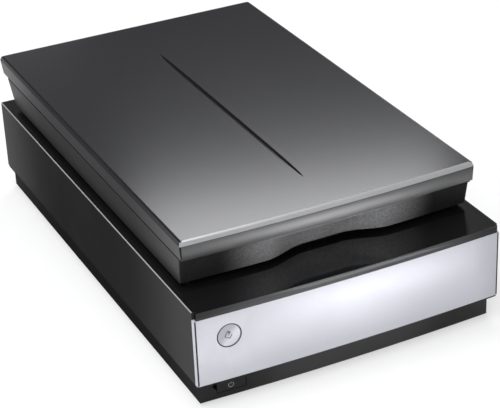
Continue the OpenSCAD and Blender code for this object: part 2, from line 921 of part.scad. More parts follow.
module carriage_housing() {
    half_w = carriage_w / 2;
    half_in = half_w - carriage_wall;
    color("#303030")
    difference() {
        union() {
            difference() {
                box([-half_w, carriage_y, carriage_z], [half_w, carriage_y + carriage_d, carriage_top]);
                box([-half_in, carriage_y + carriage_wall, carriage_z + carriage_wall],
                    [half_in, carriage_y + carriage_d - carriage_wall, carriage_top + cut]);
            }
            for (y = bush_ys())
                box([shaft_x - lug_w / 2, y, shaft_z - bush_r - 2],
                    [shaft_x + lug_w / 2, y + bush_l, carriage_z + cut]);
            box([-lens_r - lens_shift / 2 - 10, lens_front - 1, carriage_z + cut],
                [lens_r + lens_shift * 1.5 + 10, lens_front + lens_len + 1, lens_rail_z]);
        }
        for (y = bush_ys())
            rod_y(bush_r, shaft_x, shaft_z, y - cut, y + bush_l + cut);
    }
}

function bush_ys() = [carriage_y + bush_in, carriage_y + carriage_d - bush_in - bush_l];

module carriage_cover() {
    slot_w = carriage_w - 20;
    color("#242424")
    difference() {
        box([-carriage_w / 2, carriage_y, carriage_top],
            [carriage_w / 2, carriage_y + carriage_d, carriage_top + cover_t]);
        translate([0, slit_y, carriage_top])
            cube([slot_w, slit_w, 4 * cover_t], center = true);
    }
}

lamp_len = carriage_w - 16;

module scan_lamp() {
    lamp_t = 6;
    near = slit_y + slit_w / 2 + 2;
    color("#f4f4ee")
    box([-lamp_len / 2, near, carriage_top - lamp_t - 1], [lamp_len / 2, near + lamp_t, carriage_top]);
}

module lamp_reflector() {
    strip_t = 1.5;
    strip_h = 8;
    near = slit_y - slit_w / 2 - 2.5;
    color("#e8e8e8")
    box([-lamp_len / 2, near - strip_t, carriage_top - strip_h], [lamp_len / 2, near, carriage_top]);
}

module fold_mirror(y, z, a, deep) {
    mirror_len = carriage_w - 2 * carriage_wall - 2 * fit;
    mirror_t = 3;
    translate([0, y, z])
        rotate([a, 0, 0])
            cube([mirror_len, deep, mirror_t], center = true);
}

module fold_mirrors() {
    deep = 16;
    low_z = carriage_z + 13;
    rear = carriage_y + carriage_d - carriage_wall - 10;
    color("#c8d4dc") {
        fold_mirror(slit_y + 10, low_z, 45, deep);
        fold_mirror(rear, low_z, -45, deep);
        fold_mirror(rear, lens_z, 45, deep - 2);
    }
}

module sensor_board() {
    sensor_half = 44;
    sensor_edge = 16;
    sensor_t = 3;
    low_y = carriage_y + carriage_wall;
    color("#1f5a35")
    box([-sensor_half - sensor_edge, low_y, carriage_z + 10],
        [sensor_half + sensor_edge, low_y + board_t, carriage_top - 2]);
    color("#505060")
    box([-sensor_half, low_y + board_t, lens_z - sensor_t - 1],
        [sensor_half, low_y + board_t + sensor_t, lens_z + sensor_t + 1]);
}

module glide_bushings() {
    color("#b08040")
    for (y = bush_ys())
        difference() {
            rod_y(bush_r, shaft_x, shaft_z, y, y + bush_l);
            rod_y(shaft_r + run, shaft_x, shaft_z, y - cut, y + bush_l + cut);
        }
}

module glide_shoe() {
    color("#e8e4d8")
    box([rail_x - shoe_h, carriage_y + shoe_in, carriage_z - shoe_h],
        [rail_x + shoe_h, carriage_y + carriage_d - shoe_in, carriage_z]);
}

module belt_clamp() {
    half_l = 8;
    run_x = belt_x - pulley_r - belt_run;
    color("#3a3a3a")
    difference() {
        box([run_x - belt_t - 4, slit_y - half_l, belt_z - 2], [run_x + 3, slit_y + half_l, carriage_z]);
        box([run_x - belt_t - clamp_gap, slit_y - half_l - cut, belt_z - clamp_gap],
            [run_x + clamp_gap, slit_y + half_l + cut, belt_z + belt_w + clamp_gap]);
    }
}

lens_plate_w = 2 * lens_r + lens_shift + 10;

module lens_plate() {
    color("#808488")
    box([-lens_plate_w / 2, lens_front, lens_rail_z],
        [lens_plate_w / 2, lens_front + lens_len, lens_z - lens_r]);
}

module lens_barrels() {
    color("#141414")
    for (side = [-1, 1])
        difference() {
            union() {
                rod_y(lens_r, side * lens_shift / 2, lens_z, lens_front, lens_front + lens_len);
                box([side * lens_shift / 2 - 6, lens_front + 2, lens_z - lens_r],
                    [side * lens_shift / 2 + 6, lens_front + lens_len - 2, lens_z - lens_r / 2]);
            }
            rod_y(lens_r - 3, side * lens_shift / 2, lens_z,
                  lens_front + lens_len - 4, lens_front + lens_len + cut);
            rod_y(lens_r - 4, side * lens_shift / 2, lens_z, lens_front - cut, lens_front + 3);
        }
}

// Hinges

module hinge_posts() {
    color("#303030")
    for (side = [-1, 1])
        translate([side * hinge_x, hinge_y, 0])
            difference() {
                union() {
                    box([-post_w / 2, -post_t / 2, post_low], [post_w / 2, post_t / 2, hinge_z]);
                    rod_x(knuckle_r, 0, hinge_z, -post_w / 2, post_w / 2);
                    box([-post_w / 2 - 1.5, -post_t / 2 - 1.5, deck_z],
                        [post_w / 2 + 1.5, post_t / 2 + 1.5, deck_z + 2]);
                }
                rod_x(pin_r + run, 0, hinge_z, -post_w, post_w);
            }
}

module hinge_arms() {
    half_gap = post_w / 2 + ear_gap;
    color("#404040")
    for (side = [-1, 1])
        translate([side * hinge_x, hinge_y, 0]) {
            difference() {
                for (ear = [-1, 1])
                    translate([ear * (half_gap + ear_t / 2) - ear_t / 2, 0, hinge_z])
                        rotate([90, 0, 90])
                            linear_extrude(height = ear_t)
                                union() {
                                    circle(r = knuckle_r);
                                    polygon([
                                        [0, knuckle_r],
                                        [-ear_reach, knuckle_r + 4],
                                        [-ear_reach, frame_z - hinge_z],
                                        [-ear_root, frame_z - hinge_z],
                                        [0, -knuckle_r]
                                    ]);
                                }
                rod_x(pin_r, 0, hinge_z, -post_w, post_w);
            }
            box([-half_gap - ear_t, -ear_reach, frame_z], [half_gap + ear_t, -ear_root, frame_z + 3]);
        }
}

module hinge_pins() {
    half_l = post_w / 2 + ear_gap + ear_t;
    color("#b0b0b0")
    for (side = [-1, 1])
        translate([side * hinge_x, hinge_y, 0])
            rod_x(pin_r, 0, hinge_z, -half_l, half_l);
}

// Lid

lid_bow_r = (lid_w * lid_w / 4 + lid_bow * lid_bow) / (2 * lid_bow);
corner_cut = 1;
flange_t = 2;
fascia_end = 1.6;
skirt_side_step = 0.4;
skirt_rear = lid_rear - rim_rear_slope - skirt_rear_step;

function smooth(t) = 0.5 - 0.5 * cos(180 * min(1, max(0, t)));
function recess(x) = recess_d * smooth((recess_half_w - abs(x)) / (recess_half_w - recess_flat));

// Places across the front: wide steps beside the recess and narrow ones in it
function steps(low, high, n) = [for (i = [0 : n - 1]) low + (high - low) * i / n];
function front_xs(end, dip_w) = dip_w == 0
    ? concat(steps(-end, end, 24), [end])
    : concat(steps(-end, -dip_w, 6), steps(-dip_w, dip_w, 36), steps(dip_w, end, 6), [end]);

// One level of the lid: a bowed front with its finger recess, and small corner cuts
function lid_ring(half_w, front, rear, z, dip) =
    let (flat_w = half_w - corner_cut, end_y = front + bow_at(lid_bow_r, half_w))
    concat(
        [for (x = front_xs(flat_w, dip * recess_half_w))
            [x, front + bow_at(lid_bow_r, x) + dip * recess(x), z]],
        [
            [half_w, end_y + corner_cut, z],
            [half_w, rear - corner_cut, z],
            [flat_w, rear, z],
            [-flat_w, rear, z],
            [-half_w, rear - corner_cut, z],
            [-half_w, end_y + corner_cut, z]
        ]);

// Solid through rings of equal point counts, from the lowest to the highest
module loft(rings) {
    n = len(rings[0]);
    last = len(rings) - 1;
    sides = [for (k = [0 : last - 1], i = [0 : n - 1])
        let (a = k * n + i, b = k * n + (i + 1) % n)
        each [[a, a + n, b + n], [a, b + n, b]]];
    polyhedron(
        points = [for (ring = rings) each ring],
        faces = concat(sides, [[for (i = [0 : n - 1]) i]], [[for (i = [n - 1 : -1 : 0]) last * n + i]]));
}

// Closed wall through rings: up the outside, over the top edge and down the inside
module wall(rings) {
    n = len(rings[0]);
    m = len(rings);
    polyhedron(
        points = [for (ring = rings) each ring],
        faces = [for (k = [0 : m - 1], i = [0 : n - 1])
            let (a = k * n + i, b = k * n + (i + 1) % n, up = ((k + 1) % m) * n)
            each [[a, up + i, up + (i + 1) % n], [a, up + (i + 1) % n, b]]]);
}

function rim_ring(inset, z) =
    let (t = (bevel_z - z) / (bevel_z - rim_z))
    lid_ring(lid_w / 2 - t * side_slope - inset, lid_front + inset,
             lid_rear - t * rim_rear_slope - inset, z, 0);

function skirt_ring(inset, z) =
    let (t = (rim_z - z) / (rim_z - lid_low))
    lid_ring(lid_w / 2 - (1 + t) * side_slope - skirt_side_step - inset,
        lid_front + skirt_front_step + t * skirt_front_slope + inset,
        skirt_rear - t * skirt_rear_slope - inset, z, 1);

function bevel_ring(share_in, share_up) =
    let (inset = share_in * bevel_in)
    lid_ring(lid_w / 2 - inset, lid_front + inset, lid_rear - inset, bevel_z + share_up * bevel_h, 0);

module lid_cover() {
    inner_low = rim_ring(shell, rim_z - cut);
    color("#4a4a4c")
    union() {
        difference() {
            loft([rim_ring(0, rim_z), bevel_ring(0, 0), bevel_ring(0.42, 0.78), bevel_ring(1, 1)]);
            loft([inner_low, rim_ring(shell, lid_top_low)]);
            fascia_recess(lid_w - 2 * fascia_end + 2 * fit, 0);
            groove();
        }
        fascia_backing();
        at_lid_screws()
            difference() {
                translate([0, 0, frame_z])
                    cylinder(r = column_r, h = lid_top_low - frame_z + shell / 2);
                translate([0, 0, frame_z - cut])
                    cylinder(r = screw_r, h = lid_bite + cut);
            }
    }
}

module lid_bow_plan(w, front, rear) {
    intersection() {
        translate([-w / 2, front])
            square([w, rear - front]);
        translate([0, front + lid_bow_r])
            circle(r = lid_bow_r, $fn = 1440);
    }
}

module bow_strip(w, front, thick, low, high) {
    translate([0, 0, low])
        linear_extrude(height = high - low)
            difference() {
                lid_bow_plan(w, front, front + thick + 2 * lid_bow);
                translate([0, thick])
                    lid_bow_plan(w + 2, front, front + thick + 3 * lid_bow);
            }
}

module fascia_recess(w, z_gap) {
    bow_strip(w, lid_front - 0.01, fascia_t + 0.01, rim_z - cut, bevel_z + z_gap);
}

module fascia_backing() {
    bow_strip(lid_w - 2 * fascia_end - 2 * shell, lid_front + fascia_t, shell, rim_z, bevel_z + shell);
}

module lid_fascia() {
    color("#8c8c90")
    bow_strip(lid_w - 2 * fascia_end, lid_front, fascia_t, rim_z, bevel_z - 0.1);
}

// Slim leaf-shaped groove with a V section
module groove() {
    groove_l = lid_rear - lid_front - groove_fore - groove_aft;
    half_l = groove_l / 2;
    n = 40;
    shape = [for (i = [0 : n])
                 let (t = -1 + 2 * i / n)
                 [groove_w / 2 * sqrt(max(0, 1 - pow(t, 4))), t * half_l]];
    middle_y = (lid_front + groove_fore + lid_rear - groove_aft) / 2;
    translate([0, middle_y, overall_h])
        hull() {
            linear_extrude(height = 0.1)
                polygon(concat(shape, [for (i = [n - 1 : -1 : 1]) [-shape[i][0], shape[i][1]]]));
            translate([-0.2, 12 - half_l, -groove_depth])
                cube([0.4, groove_l - 24, 0.01]);
        }
}

function plan(ring) = [for (p = ring) [p[0], p[1]]];

module lid_skirt() {
    notch_half = post_w / 2 + 0.4 + ear_t + 0.6;
    color("#2e2e2e")
    difference() {
        wall([skirt_ring(0, lid_low), skirt_ring(0, rim_z - flange_t),
            skirt_ring(shell, rim_z - flange_t), skirt_ring(shell, lid_low)]);
        for (side = [-1, 1])
            box([side * hinge_x - notch_half, hinge_y - 13, frame_z],
                [side * hinge_x + notch_half, lid_rear, hinge_z + knuckle_r + 1.5]);
    }
}

// Inner frame: a ledge on the skirt's top edge and the plate that holds the film window
module lid_frame() {
    color("#262626")
    difference() {
        union() {
            translate([0, 0, rim_z - flange_t])
                linear_extrude(height = flange_t)
                    difference() {
                        polygon(plan(rim_ring(1.6, rim_z)));
                        polygon(plan(skirt_ring(shell, rim_z)));
                    }
            translate([0, 0, lid_low])
                linear_extrude(height = shell)
                    polygon(plan(skirt_ring(shell + run, lid_low)));
            box([lid_rail_x - 1.5, lamp_y - 4, frame_z - cut],
                [lid_rail_x + 1.5, lamp_y + lamp_d + lamp_travel + 4, lamp_low - fit]);
        }
        box([-film_w / 2, window_y - film_d / 2, lid_low - cut],
            [film_w / 2, window_y + film_d / 2, frame_z + cut]);
        at_lid_screws() {
            translate([0, 0, lid_low - cut])
                cylinder(r = screw_head_r, h = lid_head_t + cut);
            translate([0, 0, lid_low - cut])
                cylinder(r = screw_r + run, h = shell + 2 * cut);
        }
    }
}

module film_window() {
    color("#e8eef0", 0.6)
    box([-film_pane_w / 2, window_y - film_pane_d / 2, frame_z],
        [film_pane_w / 2, window_y + film_pane_d / 2, frame_z + film_t]);
}

module mat_rails() {
    rail_in = mat_w / 2 + fit;
    rail_low = deck_z + fit;
    color("#262626")
    for (side = [-1, 1])
        scale([side, 1, 1]) {
            box([rail_in, mat_y, rail_low], [rail_in + 3, mat_y + mat_d, lid_low]);
            box([rail_in - 3, mat_y, rail_low], [rail_in + 1, mat_y + mat_d, mat_z - fit]);
        }
}

module document_mat() {
    pad_in = 6;
    color("#3a3a3a")
    box([-mat_w / 2, mat_y, mat_z], [mat_w / 2, mat_y + mat_d, lid_low - fit]);
    color("#f4f4f2")
    box([-mat_w / 2 + pad_in, mat_y + pad_in, deck_z + 0.5],
        [mat_w / 2 - pad_in, mat_y + mat_d - pad_in, mat_z]);
}

module lid_bumpers() {
    color("#1a1a1a")
    for (x = [-lid_screw_x, lid_screw_x], y = bumper_y)
        rod_z(bumper_r, x, y, deck_z + 0.1, lid_low);
}

module lid_screws() {
    color("#707070")
    at_lid_screws()
        translate([0, 0, lid_low]) {
            difference() {
                translate([0, 0, 0.2])
                    cylinder(r = screw_head_r - fit, h = lid_head_t - 0.2);
                translate([0, 0, 0.2])
                    cross_slot(4, 0.5);
            }
            translate([0, 0, lid_head_t - 0.1])
                cylinder(r = screw_r - run, h = lid_bite - 1);
        }
}

// Film lamp and its drive in the lid

lamp_low = frame_z + 6;
lamp_h = 20;
lid_shaft_front = lid_front + 35;
lid_shaft_rear = lamp_y + lamp_d + lamp_travel + 42;
block_l = 8;
block_half_w = 7;

module lid_shaft() {
    color("#c4c4c4")
    rod_y(lid_shaft_r, lid_shaft_x, lid_shaft_z, lid_shaft_front, lid_shaft_rear);
}

module lid_shaft_blocks() {
    color("#9a9a9a")
    for (low = [lid_shaft_front, lid_shaft_rear - block_l])
        difference() {
            box([lid_shaft_x - block_half_w, low, frame_z],
                [lid_shaft_x + block_half_w, low + block_l, lid_shaft_z + lid_shaft_r + clamp_wall]);
            rod_y(lid_shaft_r, lid_shaft_x, lid_shaft_z, low - cut, low + block_l + cut);
        }
}

module lamp_carriage() {
    middle = lamp_y + lamp_d / 2;
    right = lid_rail_x + 3;
    run_x = lid_belt_x - lid_pulley_r - belt_run;
    channel = [film_w / 2 + 4, 8];
    color("#2c2c2c")
    difference() {
        union() {
            box([lid_shaft_x - block_half_w, lamp_y, lamp_low],
                [right, lamp_y + lamp_d, lamp_low + lamp_h]);
            box([right - cut, middle - 7, lid_belt_z - 2.4],
                [run_x + 3, middle + 7, lid_belt_z + belt_w + 2.4]);
        }
        rod_y(lid_shaft_r + run, lid_shaft_x, lid_shaft_z, lamp_y - cut, lamp_y + lamp_d + cut);
        box([-channel[0], middle - channel[1], lamp_low - cut],
            [channel[0], middle + channel[1], lamp_low + 10]);
        box([run_x - belt_t - clamp_gap, middle - 9, lid_belt_z - clamp_gap],
            [run_x + clamp_gap, middle + 9, lid_belt_z + belt_w + clamp_gap]);
    }
}

module film_lamp() {
    middle = lamp_y + lamp_d / 2;
    color("#f6f6f0")
    box([-film_w / 2 - 2, middle - 6, lamp_low + 2], [film_w / 2 + 2, middle + 6, lamp_low + 10]);
}

module lid_belt() {
    color("#1c1c1c")
    belt_loop(lid_pulley_r, lid_belt_x, lid_idler_y, lid_drive_y, lid_belt_z);
}

module lid_motor() {
    color("#8c8c8c") {
        rod_z(lid_motor_r, lid_belt_x, lid_drive_y, frame_z, lid_belt_z - 1.6);
        rod_z(axle_r, lid_belt_x, lid_drive_y, lid_belt_z - 2, lid_belt_z + belt_w + 2);
    }
}

module lid_idler_pin() {
    color("#b0b0b0") {
        rod_z(axle_r + 2, lid_belt_x, lid_idler_y, frame_z, lid_belt_z - 1.6);
        rod_z(axle_r, lid_belt_x, lid_idler_y, frame_z, lid_belt_z + belt_w + 2);
    }
}

module lid_pulley(y) {
    color("#e4e0d0")
    difference() {
        pulley(lid_belt_x, y, lid_belt_z, lid_pulley_r);
        rod_z(axle_r + run, lid_belt_x, y, lid_belt_z - 3, lid_belt_z + belt_w + 3);
    }
}

module lid_drive_pulley() {
    lid_pulley(lid_drive_y);
}

module lid_idler_pulley() {
    lid_pulley(lid_idler_y);
}

base_tray();
upper_housing();
front_panel();
scan_glass();
glass_bezel();
start_board();
power_board();
status_light();
main_board();
power_inlet();
usb_port();
lid_port();
guide_shaft();
shaft_clamps();
support_rail();
drive_belt();
idler_bracket();
drive_axle();
stepper_motor();
hinge_sockets();
feet();
case_screws();
start_button();
power_button();
lock_knob();
carriage_housing();
carriage_cover();
scan_lamp();
lamp_reflector();
fold_mirrors();
sensor_board();
glide_bushings();
glide_shoe();
belt_clamp();
lens_plate();
lens_barrels();
drive_pulley();
idler_pulley();
motor_pinion();
hinge_posts();
lid_cover();
lid_fascia();
lid_skirt();
lid_frame();
film_window();
mat_rails();
hinge_arms();
hinge_pins();
lid_bumpers();
lid_screws();
lid_shaft();
lid_shaft_blocks();
lid_belt();
lid_motor();
lid_idler_pin();
lamp_carriage();
film_lamp();
lid_drive_pulley();
lid_idler_pulley();
document_mat();
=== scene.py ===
# %% [markdown]
# # A flatbed film and photo scanner, dressed for its picture
#
# The solids of this machine come from a CAD model that already knows every size and joint. This
# script doesn't build them again. It loads them as a fixed frame, gives each one a finish made
# from shader nodes, adds the small printed and moulded details, and sets up a plain white studio.
# All lengths are in metres unless a line says millimetres, +Z is up and the front faces -Y.

import json
import math

import bmesh
import bpy
from mathutils import Matrix, Vector

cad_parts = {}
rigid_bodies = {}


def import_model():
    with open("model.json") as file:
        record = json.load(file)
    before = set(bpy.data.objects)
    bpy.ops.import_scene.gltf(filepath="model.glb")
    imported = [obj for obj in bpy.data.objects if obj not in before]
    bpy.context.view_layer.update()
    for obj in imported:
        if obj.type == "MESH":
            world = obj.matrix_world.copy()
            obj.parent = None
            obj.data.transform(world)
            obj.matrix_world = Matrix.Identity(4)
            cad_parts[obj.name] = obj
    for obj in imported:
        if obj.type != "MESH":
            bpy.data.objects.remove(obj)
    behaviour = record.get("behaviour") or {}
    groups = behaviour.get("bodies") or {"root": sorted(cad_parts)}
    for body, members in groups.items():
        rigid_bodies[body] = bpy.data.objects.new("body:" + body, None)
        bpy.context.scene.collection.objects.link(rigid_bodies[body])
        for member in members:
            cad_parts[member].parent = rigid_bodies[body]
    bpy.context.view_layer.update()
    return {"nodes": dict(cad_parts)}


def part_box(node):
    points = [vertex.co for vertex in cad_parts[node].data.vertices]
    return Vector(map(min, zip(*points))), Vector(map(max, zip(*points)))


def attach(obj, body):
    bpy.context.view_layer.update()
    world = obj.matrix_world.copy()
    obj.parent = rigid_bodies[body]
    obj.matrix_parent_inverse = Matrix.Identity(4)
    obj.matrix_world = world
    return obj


for leftover in list(bpy.data.objects):
    bpy.data.objects.remove(leftover)

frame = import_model()

MM = 0.001
scene = bpy.context.scene

# %% [markdown]
# ## Camera
#
# The photograph looks down on the front left corner through a long lens, so the long sides stay
# almost parallel. A camera can be aimed with a tracking constraint, but here the aim, the height
# and the slight roll are worked out as one matrix, which keeps the picture exactly level with
# the photograph. The numbers came from fitting the machine's corners to the photograph.

# %% Make the camera
EYE = Vector((-0.62926, -1.38305, 0.87070))
AZIMUTH, ELEVATION, ROLL = (math.radians(a) for a in (-25.155, 28.430, -2.603))
LENS_MM, SENSOR_MM = 123.4145, 36
NEAREST, FARTHEST = 0.05, 50


def camera_matrix(eye, azimuth, elevation, roll):
    """World matrix of a camera that looks level, then down, then rolls about its own axis."""
    back = Vector((math.sin(azimuth) * math.cos(elevation),
                   -math.cos(azimuth) * math.cos(elevation), math.sin(elevation)))
    right = (-back).cross(Vector((0, 0, 1))).normalized()
    up = right.cross(-back)
    right, up = (math.cos(roll) * right + math.sin(roll) * up,
                 math.cos(roll) * up - math.sin(roll) * right)
    turn = Matrix((right, up, back)).transposed().to_4x4()
    return Matrix.Translation(eye) @ turn


camera = bpy.data.objects.new("camera", bpy.data.cameras.new("camera"))
scene.collection.objects.link(camera)
camera.data.sensor_width = SENSOR_MM
camera.data.lens = LENS_MM
camera.data.clip_start, camera.data.clip_end = NEAREST, FARTHEST
camera.matrix_world = camera_matrix(EYE, AZIMUTH, ELEVATION, ROLL)
scene.camera = camera
print("camera", tuple(round(v, 3) for v in camera.location), "lens", LENS_MM, "mm")

# %% [markdown]
# ## Shader maths as Python
#
# A finish is a small sum: a base colour, plus a little grain, times a stain mask. Wiring each sum
# by hand hides it, so a `Wire` stands for one output socket and takes +, - and *. Numbers use Math
# nodes. Colours use Mix nodes and vectors use Vector Math, because a Math node would turn a colour
# grey. A `Finish` owns one material, and its `node` method makes every other kind of node:
# its type, its settings, and what goes into its sockets.

# %% Wires and finishes


class Wire:
    """One output socket of a finish, with the arithmetic that the finishes use."""

    def __init__(self, finish, socket):
        self.finish, self.socket = finish, socket

    def _with(self, operation, a, b):
        kinds = {w.socket.type for w in (a, b) if isinstance(w, Wire)}
        if "RGBA" in kinds:
            return self.finish.mix(1.0, a, b, operation)
        if "VECTOR" in kinds:
            return self.finish.node("ShaderNodeVectorMath", {"operation": operation}, {0: a, 1: b})
        return self.finish.node("ShaderNodeMath", {"operation": operation}, {0: a, 1: b})

    def __add__(self, other):
        return self._with("ADD", self, other)

    def __radd__(self, other):
        return self._with("ADD", other, self)

    def __sub__(self, other):
        return self._with("SUBTRACT", self, other)

    def __rsub__(self, other):
        return self._with("SUBTRACT", other, self)

    def __mul__(self, other):
        return self._with("MULTIPLY", self, other)

    def __rmul__(self, other):
        return self._with("MULTIPLY", other, self)


class Finish:
    """One material: its node tree, its shader, and one method that makes any node."""

    def __init__(self, name, **shader):
        self.material = bpy.data.materials.new(name)
        self.material.use_nodes = True
        self.tree = self.material.node_tree
        self.shader = self.tree.nodes["Principled BSDF"]
        self.set(**shader)
        self.place = self.node("ShaderNodeTexCoord", output="Object")

    def node(self, kind, settings=None, inputs=None, output=0):
        """A node of any kind. Its settings go in first, then what its sockets take."""
        made = self.tree.nodes.new(kind)
        for key, value in (settings or {}).items():
            setattr(made, key, value)
        for key, value in (inputs or {}).items():
            self._feed(made.inputs[key], value)
        return Wire(self, made.outputs[output])

    def _feed(self, socket, value):
        if isinstance(value, Wire):
            self.tree.links.new(value.socket, socket)
        elif socket.type == "RGBA" and len(value) == 3:
            socket.default_value = (*value, 1)
        else:
            socket.default_value = value

    def set(self, **shader):
        """Values and wires of the finish's own shader; base_color stands for Base Color."""
        for key, value in shader.items():
            label = key.replace("_", " ").title().replace("Ior", "IOR")
            self._feed(self.shader.inputs[label], value)

    def mix(self, share, a, b, blend="MIX"):
        """Colour a with b over it, by a share from 0 to 1."""
        return self.node("ShaderNodeMix", {"data_type": "RGBA", "blend_type": blend,
                                           "clamp_factor": True},
                         {"Factor": share, 6: a, 7: b}, output=2)

    def noise(self, size, detail=2.0):
        """Soft random values about 0.5, with features of a given size in metres."""
        return self.node("ShaderNodeTexNoise", {"noise_dimensions": "3D"},
                         {"Vector": self.place, "Scale": 1 / size, "Detail": detail,
                          "Roughness": 0.5})

    def step(self, value, low, high, to_low=0.0, to_high=1.0):
        """Smooth step of a value from low to high."""
        return self.node("ShaderNodeMapRange", {"interpolation_type": "SMOOTHSTEP"},
                         {"Value": value, "From Min": low, "From Max": high,
                          "To Min": to_low, "To Max": to_high})

    def bump(self, height, depth):
        """Surface relief: height from 0 to 1 stands depth metres proud."""
        self.set(normal=self.node("ShaderNodeBump", None,
                                  {"Height": height, "Distance": depth, "Strength": 1.0}))

    def axis(self, name):
        """One coordinate of the place, in metres."""
        return self.node("ShaderNodeSeparateXYZ", None, {0: self.place}, output=name)

    def facing(self, name):
        """How far a face looks along one of the part's own axes, from -1 to 1."""
        normal = self.node("ShaderNodeTexCoord", output="Normal")
        return self.node("ShaderNodeSeparateXYZ", None, {0: normal}, output=name)


def shade(level):
    """Linear value of a 0 to 255 grey."""
    s = level / 255
    return s / 12.92 if s <= 0.04045 else ((s + 0.055) / 1.055) ** 2.4


def tone(*levels):
    """Linear colour of 0 to 255 levels; one level gives a neutral grey."""
    return tuple(shade(v) for v in (levels * 3 if len(levels) == 1 else levels))


print("a mid grey of 118 is", round(shade(118), 3), "in linear light")

# %% [markdown]
# ## Studio
#
# The machine stands on a white sweep. The picture's white comes from what the camera sees of the
# sweep and the sky, not from more light: for camera, mirror and glass rays the floor is part
# glowing white, and the rest of it is plain white paint that takes the shadow. Far from the machine
# it glows fully, so it has no dark end. The sky is white for the camera and through glass, dim in
# mirrors, and gives hardly any light.
#
# The lamps are soft boxes. The broad one hangs overhead to the front left, and the one behind the
# machine shows in the lid's top. A wall that is seen at a low angle mirrors a lamp far too
# strongly, so the front left lamp lights matt surfaces only. Two cards on the floor show only in
# glossy surfaces, and give the bowed front parts their soft highlight.

# %% Floor and sky
FLOOR_HALF, FLOOR_WHITE = 6, 0.92
FLOOR_GLOW = 0.55
FLOOR_FADE = (0.6, 2.0)
SKY = (0.97, 0.98, 1.0)
SKY_MIRRORED, SKY_LIGHT = 0.08, 0.05


def by_ray(tree, camera, mirror, glass, light=0.0):
    """A level for rays from the camera, a mirror or glass, and one for rays that carry light."""
    path = tree.nodes.new("ShaderNodeLightPath")
    total = None
    for ray, level in (("Is Camera Ray", camera), ("Is Glossy Ray", mirror),
                       ("Is Transmission Ray", glass)):
        share, most = (tree.nodes.new("ShaderNodeMath") for _ in range(2))
        share.operation, most.operation = "MULTIPLY", "MAXIMUM"
        share.inputs[1].default_value = level
        tree.links.new(path.outputs[ray], share.inputs[0])
        tree.links.new(share.outputs[0], most.inputs[1])
        most.inputs[0].default_value = light
        if total:
            tree.links.new(total, most.inputs[0])
        total = most.outputs[0]
    return total


def rise_with_distance(tree, near, far, most):
    """1 at the middle of the floor, rising between two distances from it."""
    place = tree.nodes.new("ShaderNodeTexCoord")
    distance = tree.nodes.new("ShaderNodeVectorMath")
    distance.operation = "LENGTH"
    tree.links.new(place.outputs["Object"], distance.inputs[0])
    ramp = tree.nodes.new("ShaderNodeMapRange")
    ramp.interpolation_type = "SMOOTHSTEP"
    tree.links.new(distance.outputs["Value"], ramp.inputs["Value"])
    for socket, value in (("From Min", near), ("From Max", far), ("To Max", most), ("To Min", 1)):
        ramp.inputs[socket].default_value = value
    return ramp.outputs["Result"]


def make_floor(half_size):
    mesh = bpy.data.meshes.new("floor")
    corners = [(x * half_size, y * half_size, 0) for x, y in ((-1, -1), (1, -1), (1, 1), (-1, 1))]
    mesh.from_pydata(corners, [], [(0, 1, 2, 3)])
    floor = bpy.data.objects.new("floor", mesh)
    scene.collection.objects.link(floor)
    paint = bpy.data.materials.new("sweep_white")
    paint.use_nodes = True
    tree = paint.node_tree
    tree.nodes.clear()
    matt = tree.nodes.new("ShaderNodeBsdfDiffuse")
    matt.inputs["Color"].default_value = (FLOOR_WHITE, FLOOR_WHITE, FLOOR_WHITE, 1)
    glow = tree.nodes.new("ShaderNodeEmission")
    blend = tree.nodes.new("ShaderNodeMixShader")
    out = tree.nodes.new("ShaderNodeOutputMaterial")
    share = tree.nodes.new("ShaderNodeMath")
    share.operation = "MULTIPLY"
    tree.links.new(by_ray(tree, FLOOR_GLOW, FLOOR_GLOW, FLOOR_GLOW), share.inputs[0])
    tree.links.new(rise_with_distance(tree, *FLOOR_FADE, 1 / FLOOR_GLOW), share.inputs[1])
    tree.links.new(share.outputs[0], blend.inputs["Fac"])
    tree.links.new(matt.outputs[0], blend.inputs[1])
    tree.links.new(glow.outputs[0], blend.inputs[2])
    tree.links.new(blend.outputs[0], out.inputs["Surface"])
    mesh.materials.append(paint)
    return floor


def make_sky():
    sky = bpy.data.worlds.new("sky")
    scene.world = sky
    sky.use_nodes = True
    tree = sky.node_tree
    room = tree.nodes["Background"]
    room.inputs["Color"].default_value = (*SKY, 1)
    tree.links.new(by_ray(tree, 1.0, SKY_MIRRORED, 1.0, SKY_LIGHT), room.inputs["Strength"])


make_floor(FLOOR_HALF)
make_sky()
print("floor and sky made")

# %% Lamps
scene.view_settings.view_transform = "Standard"
DAYLIGHT = (0.985, 0.99, 1.0)


def soft_box(name, place, aim, size, strength, lights="all"):
    """A rectangular lamp that faces a point. strength is its brightness seen face on.

    It lights matt surfaces, or shows in glossy ones, or does both.
    """
    lamp = bpy.data.lights.new(name, "AREA")
    lamp.shape = "RECTANGLE"
    lamp.size, lamp.size_y = size
    lamp.energy = strength * math.pi * size[0] * size[1]
    lamp.color = DAYLIGHT
    box = bpy.data.objects.new(name, lamp)
    scene.collection.objects.link(box)
    box.location = place
    box.rotation_mode = "QUATERNION"
    box.rotation_quaternion = (Vector(aim) - Vector(place)).to_track_quat("-Z", "Y")
    box.visible_camera = False
    box.visible_diffuse = lights in ("all", "matt")
    box.visible_glossy = lights in ("all", "gloss")
    return box


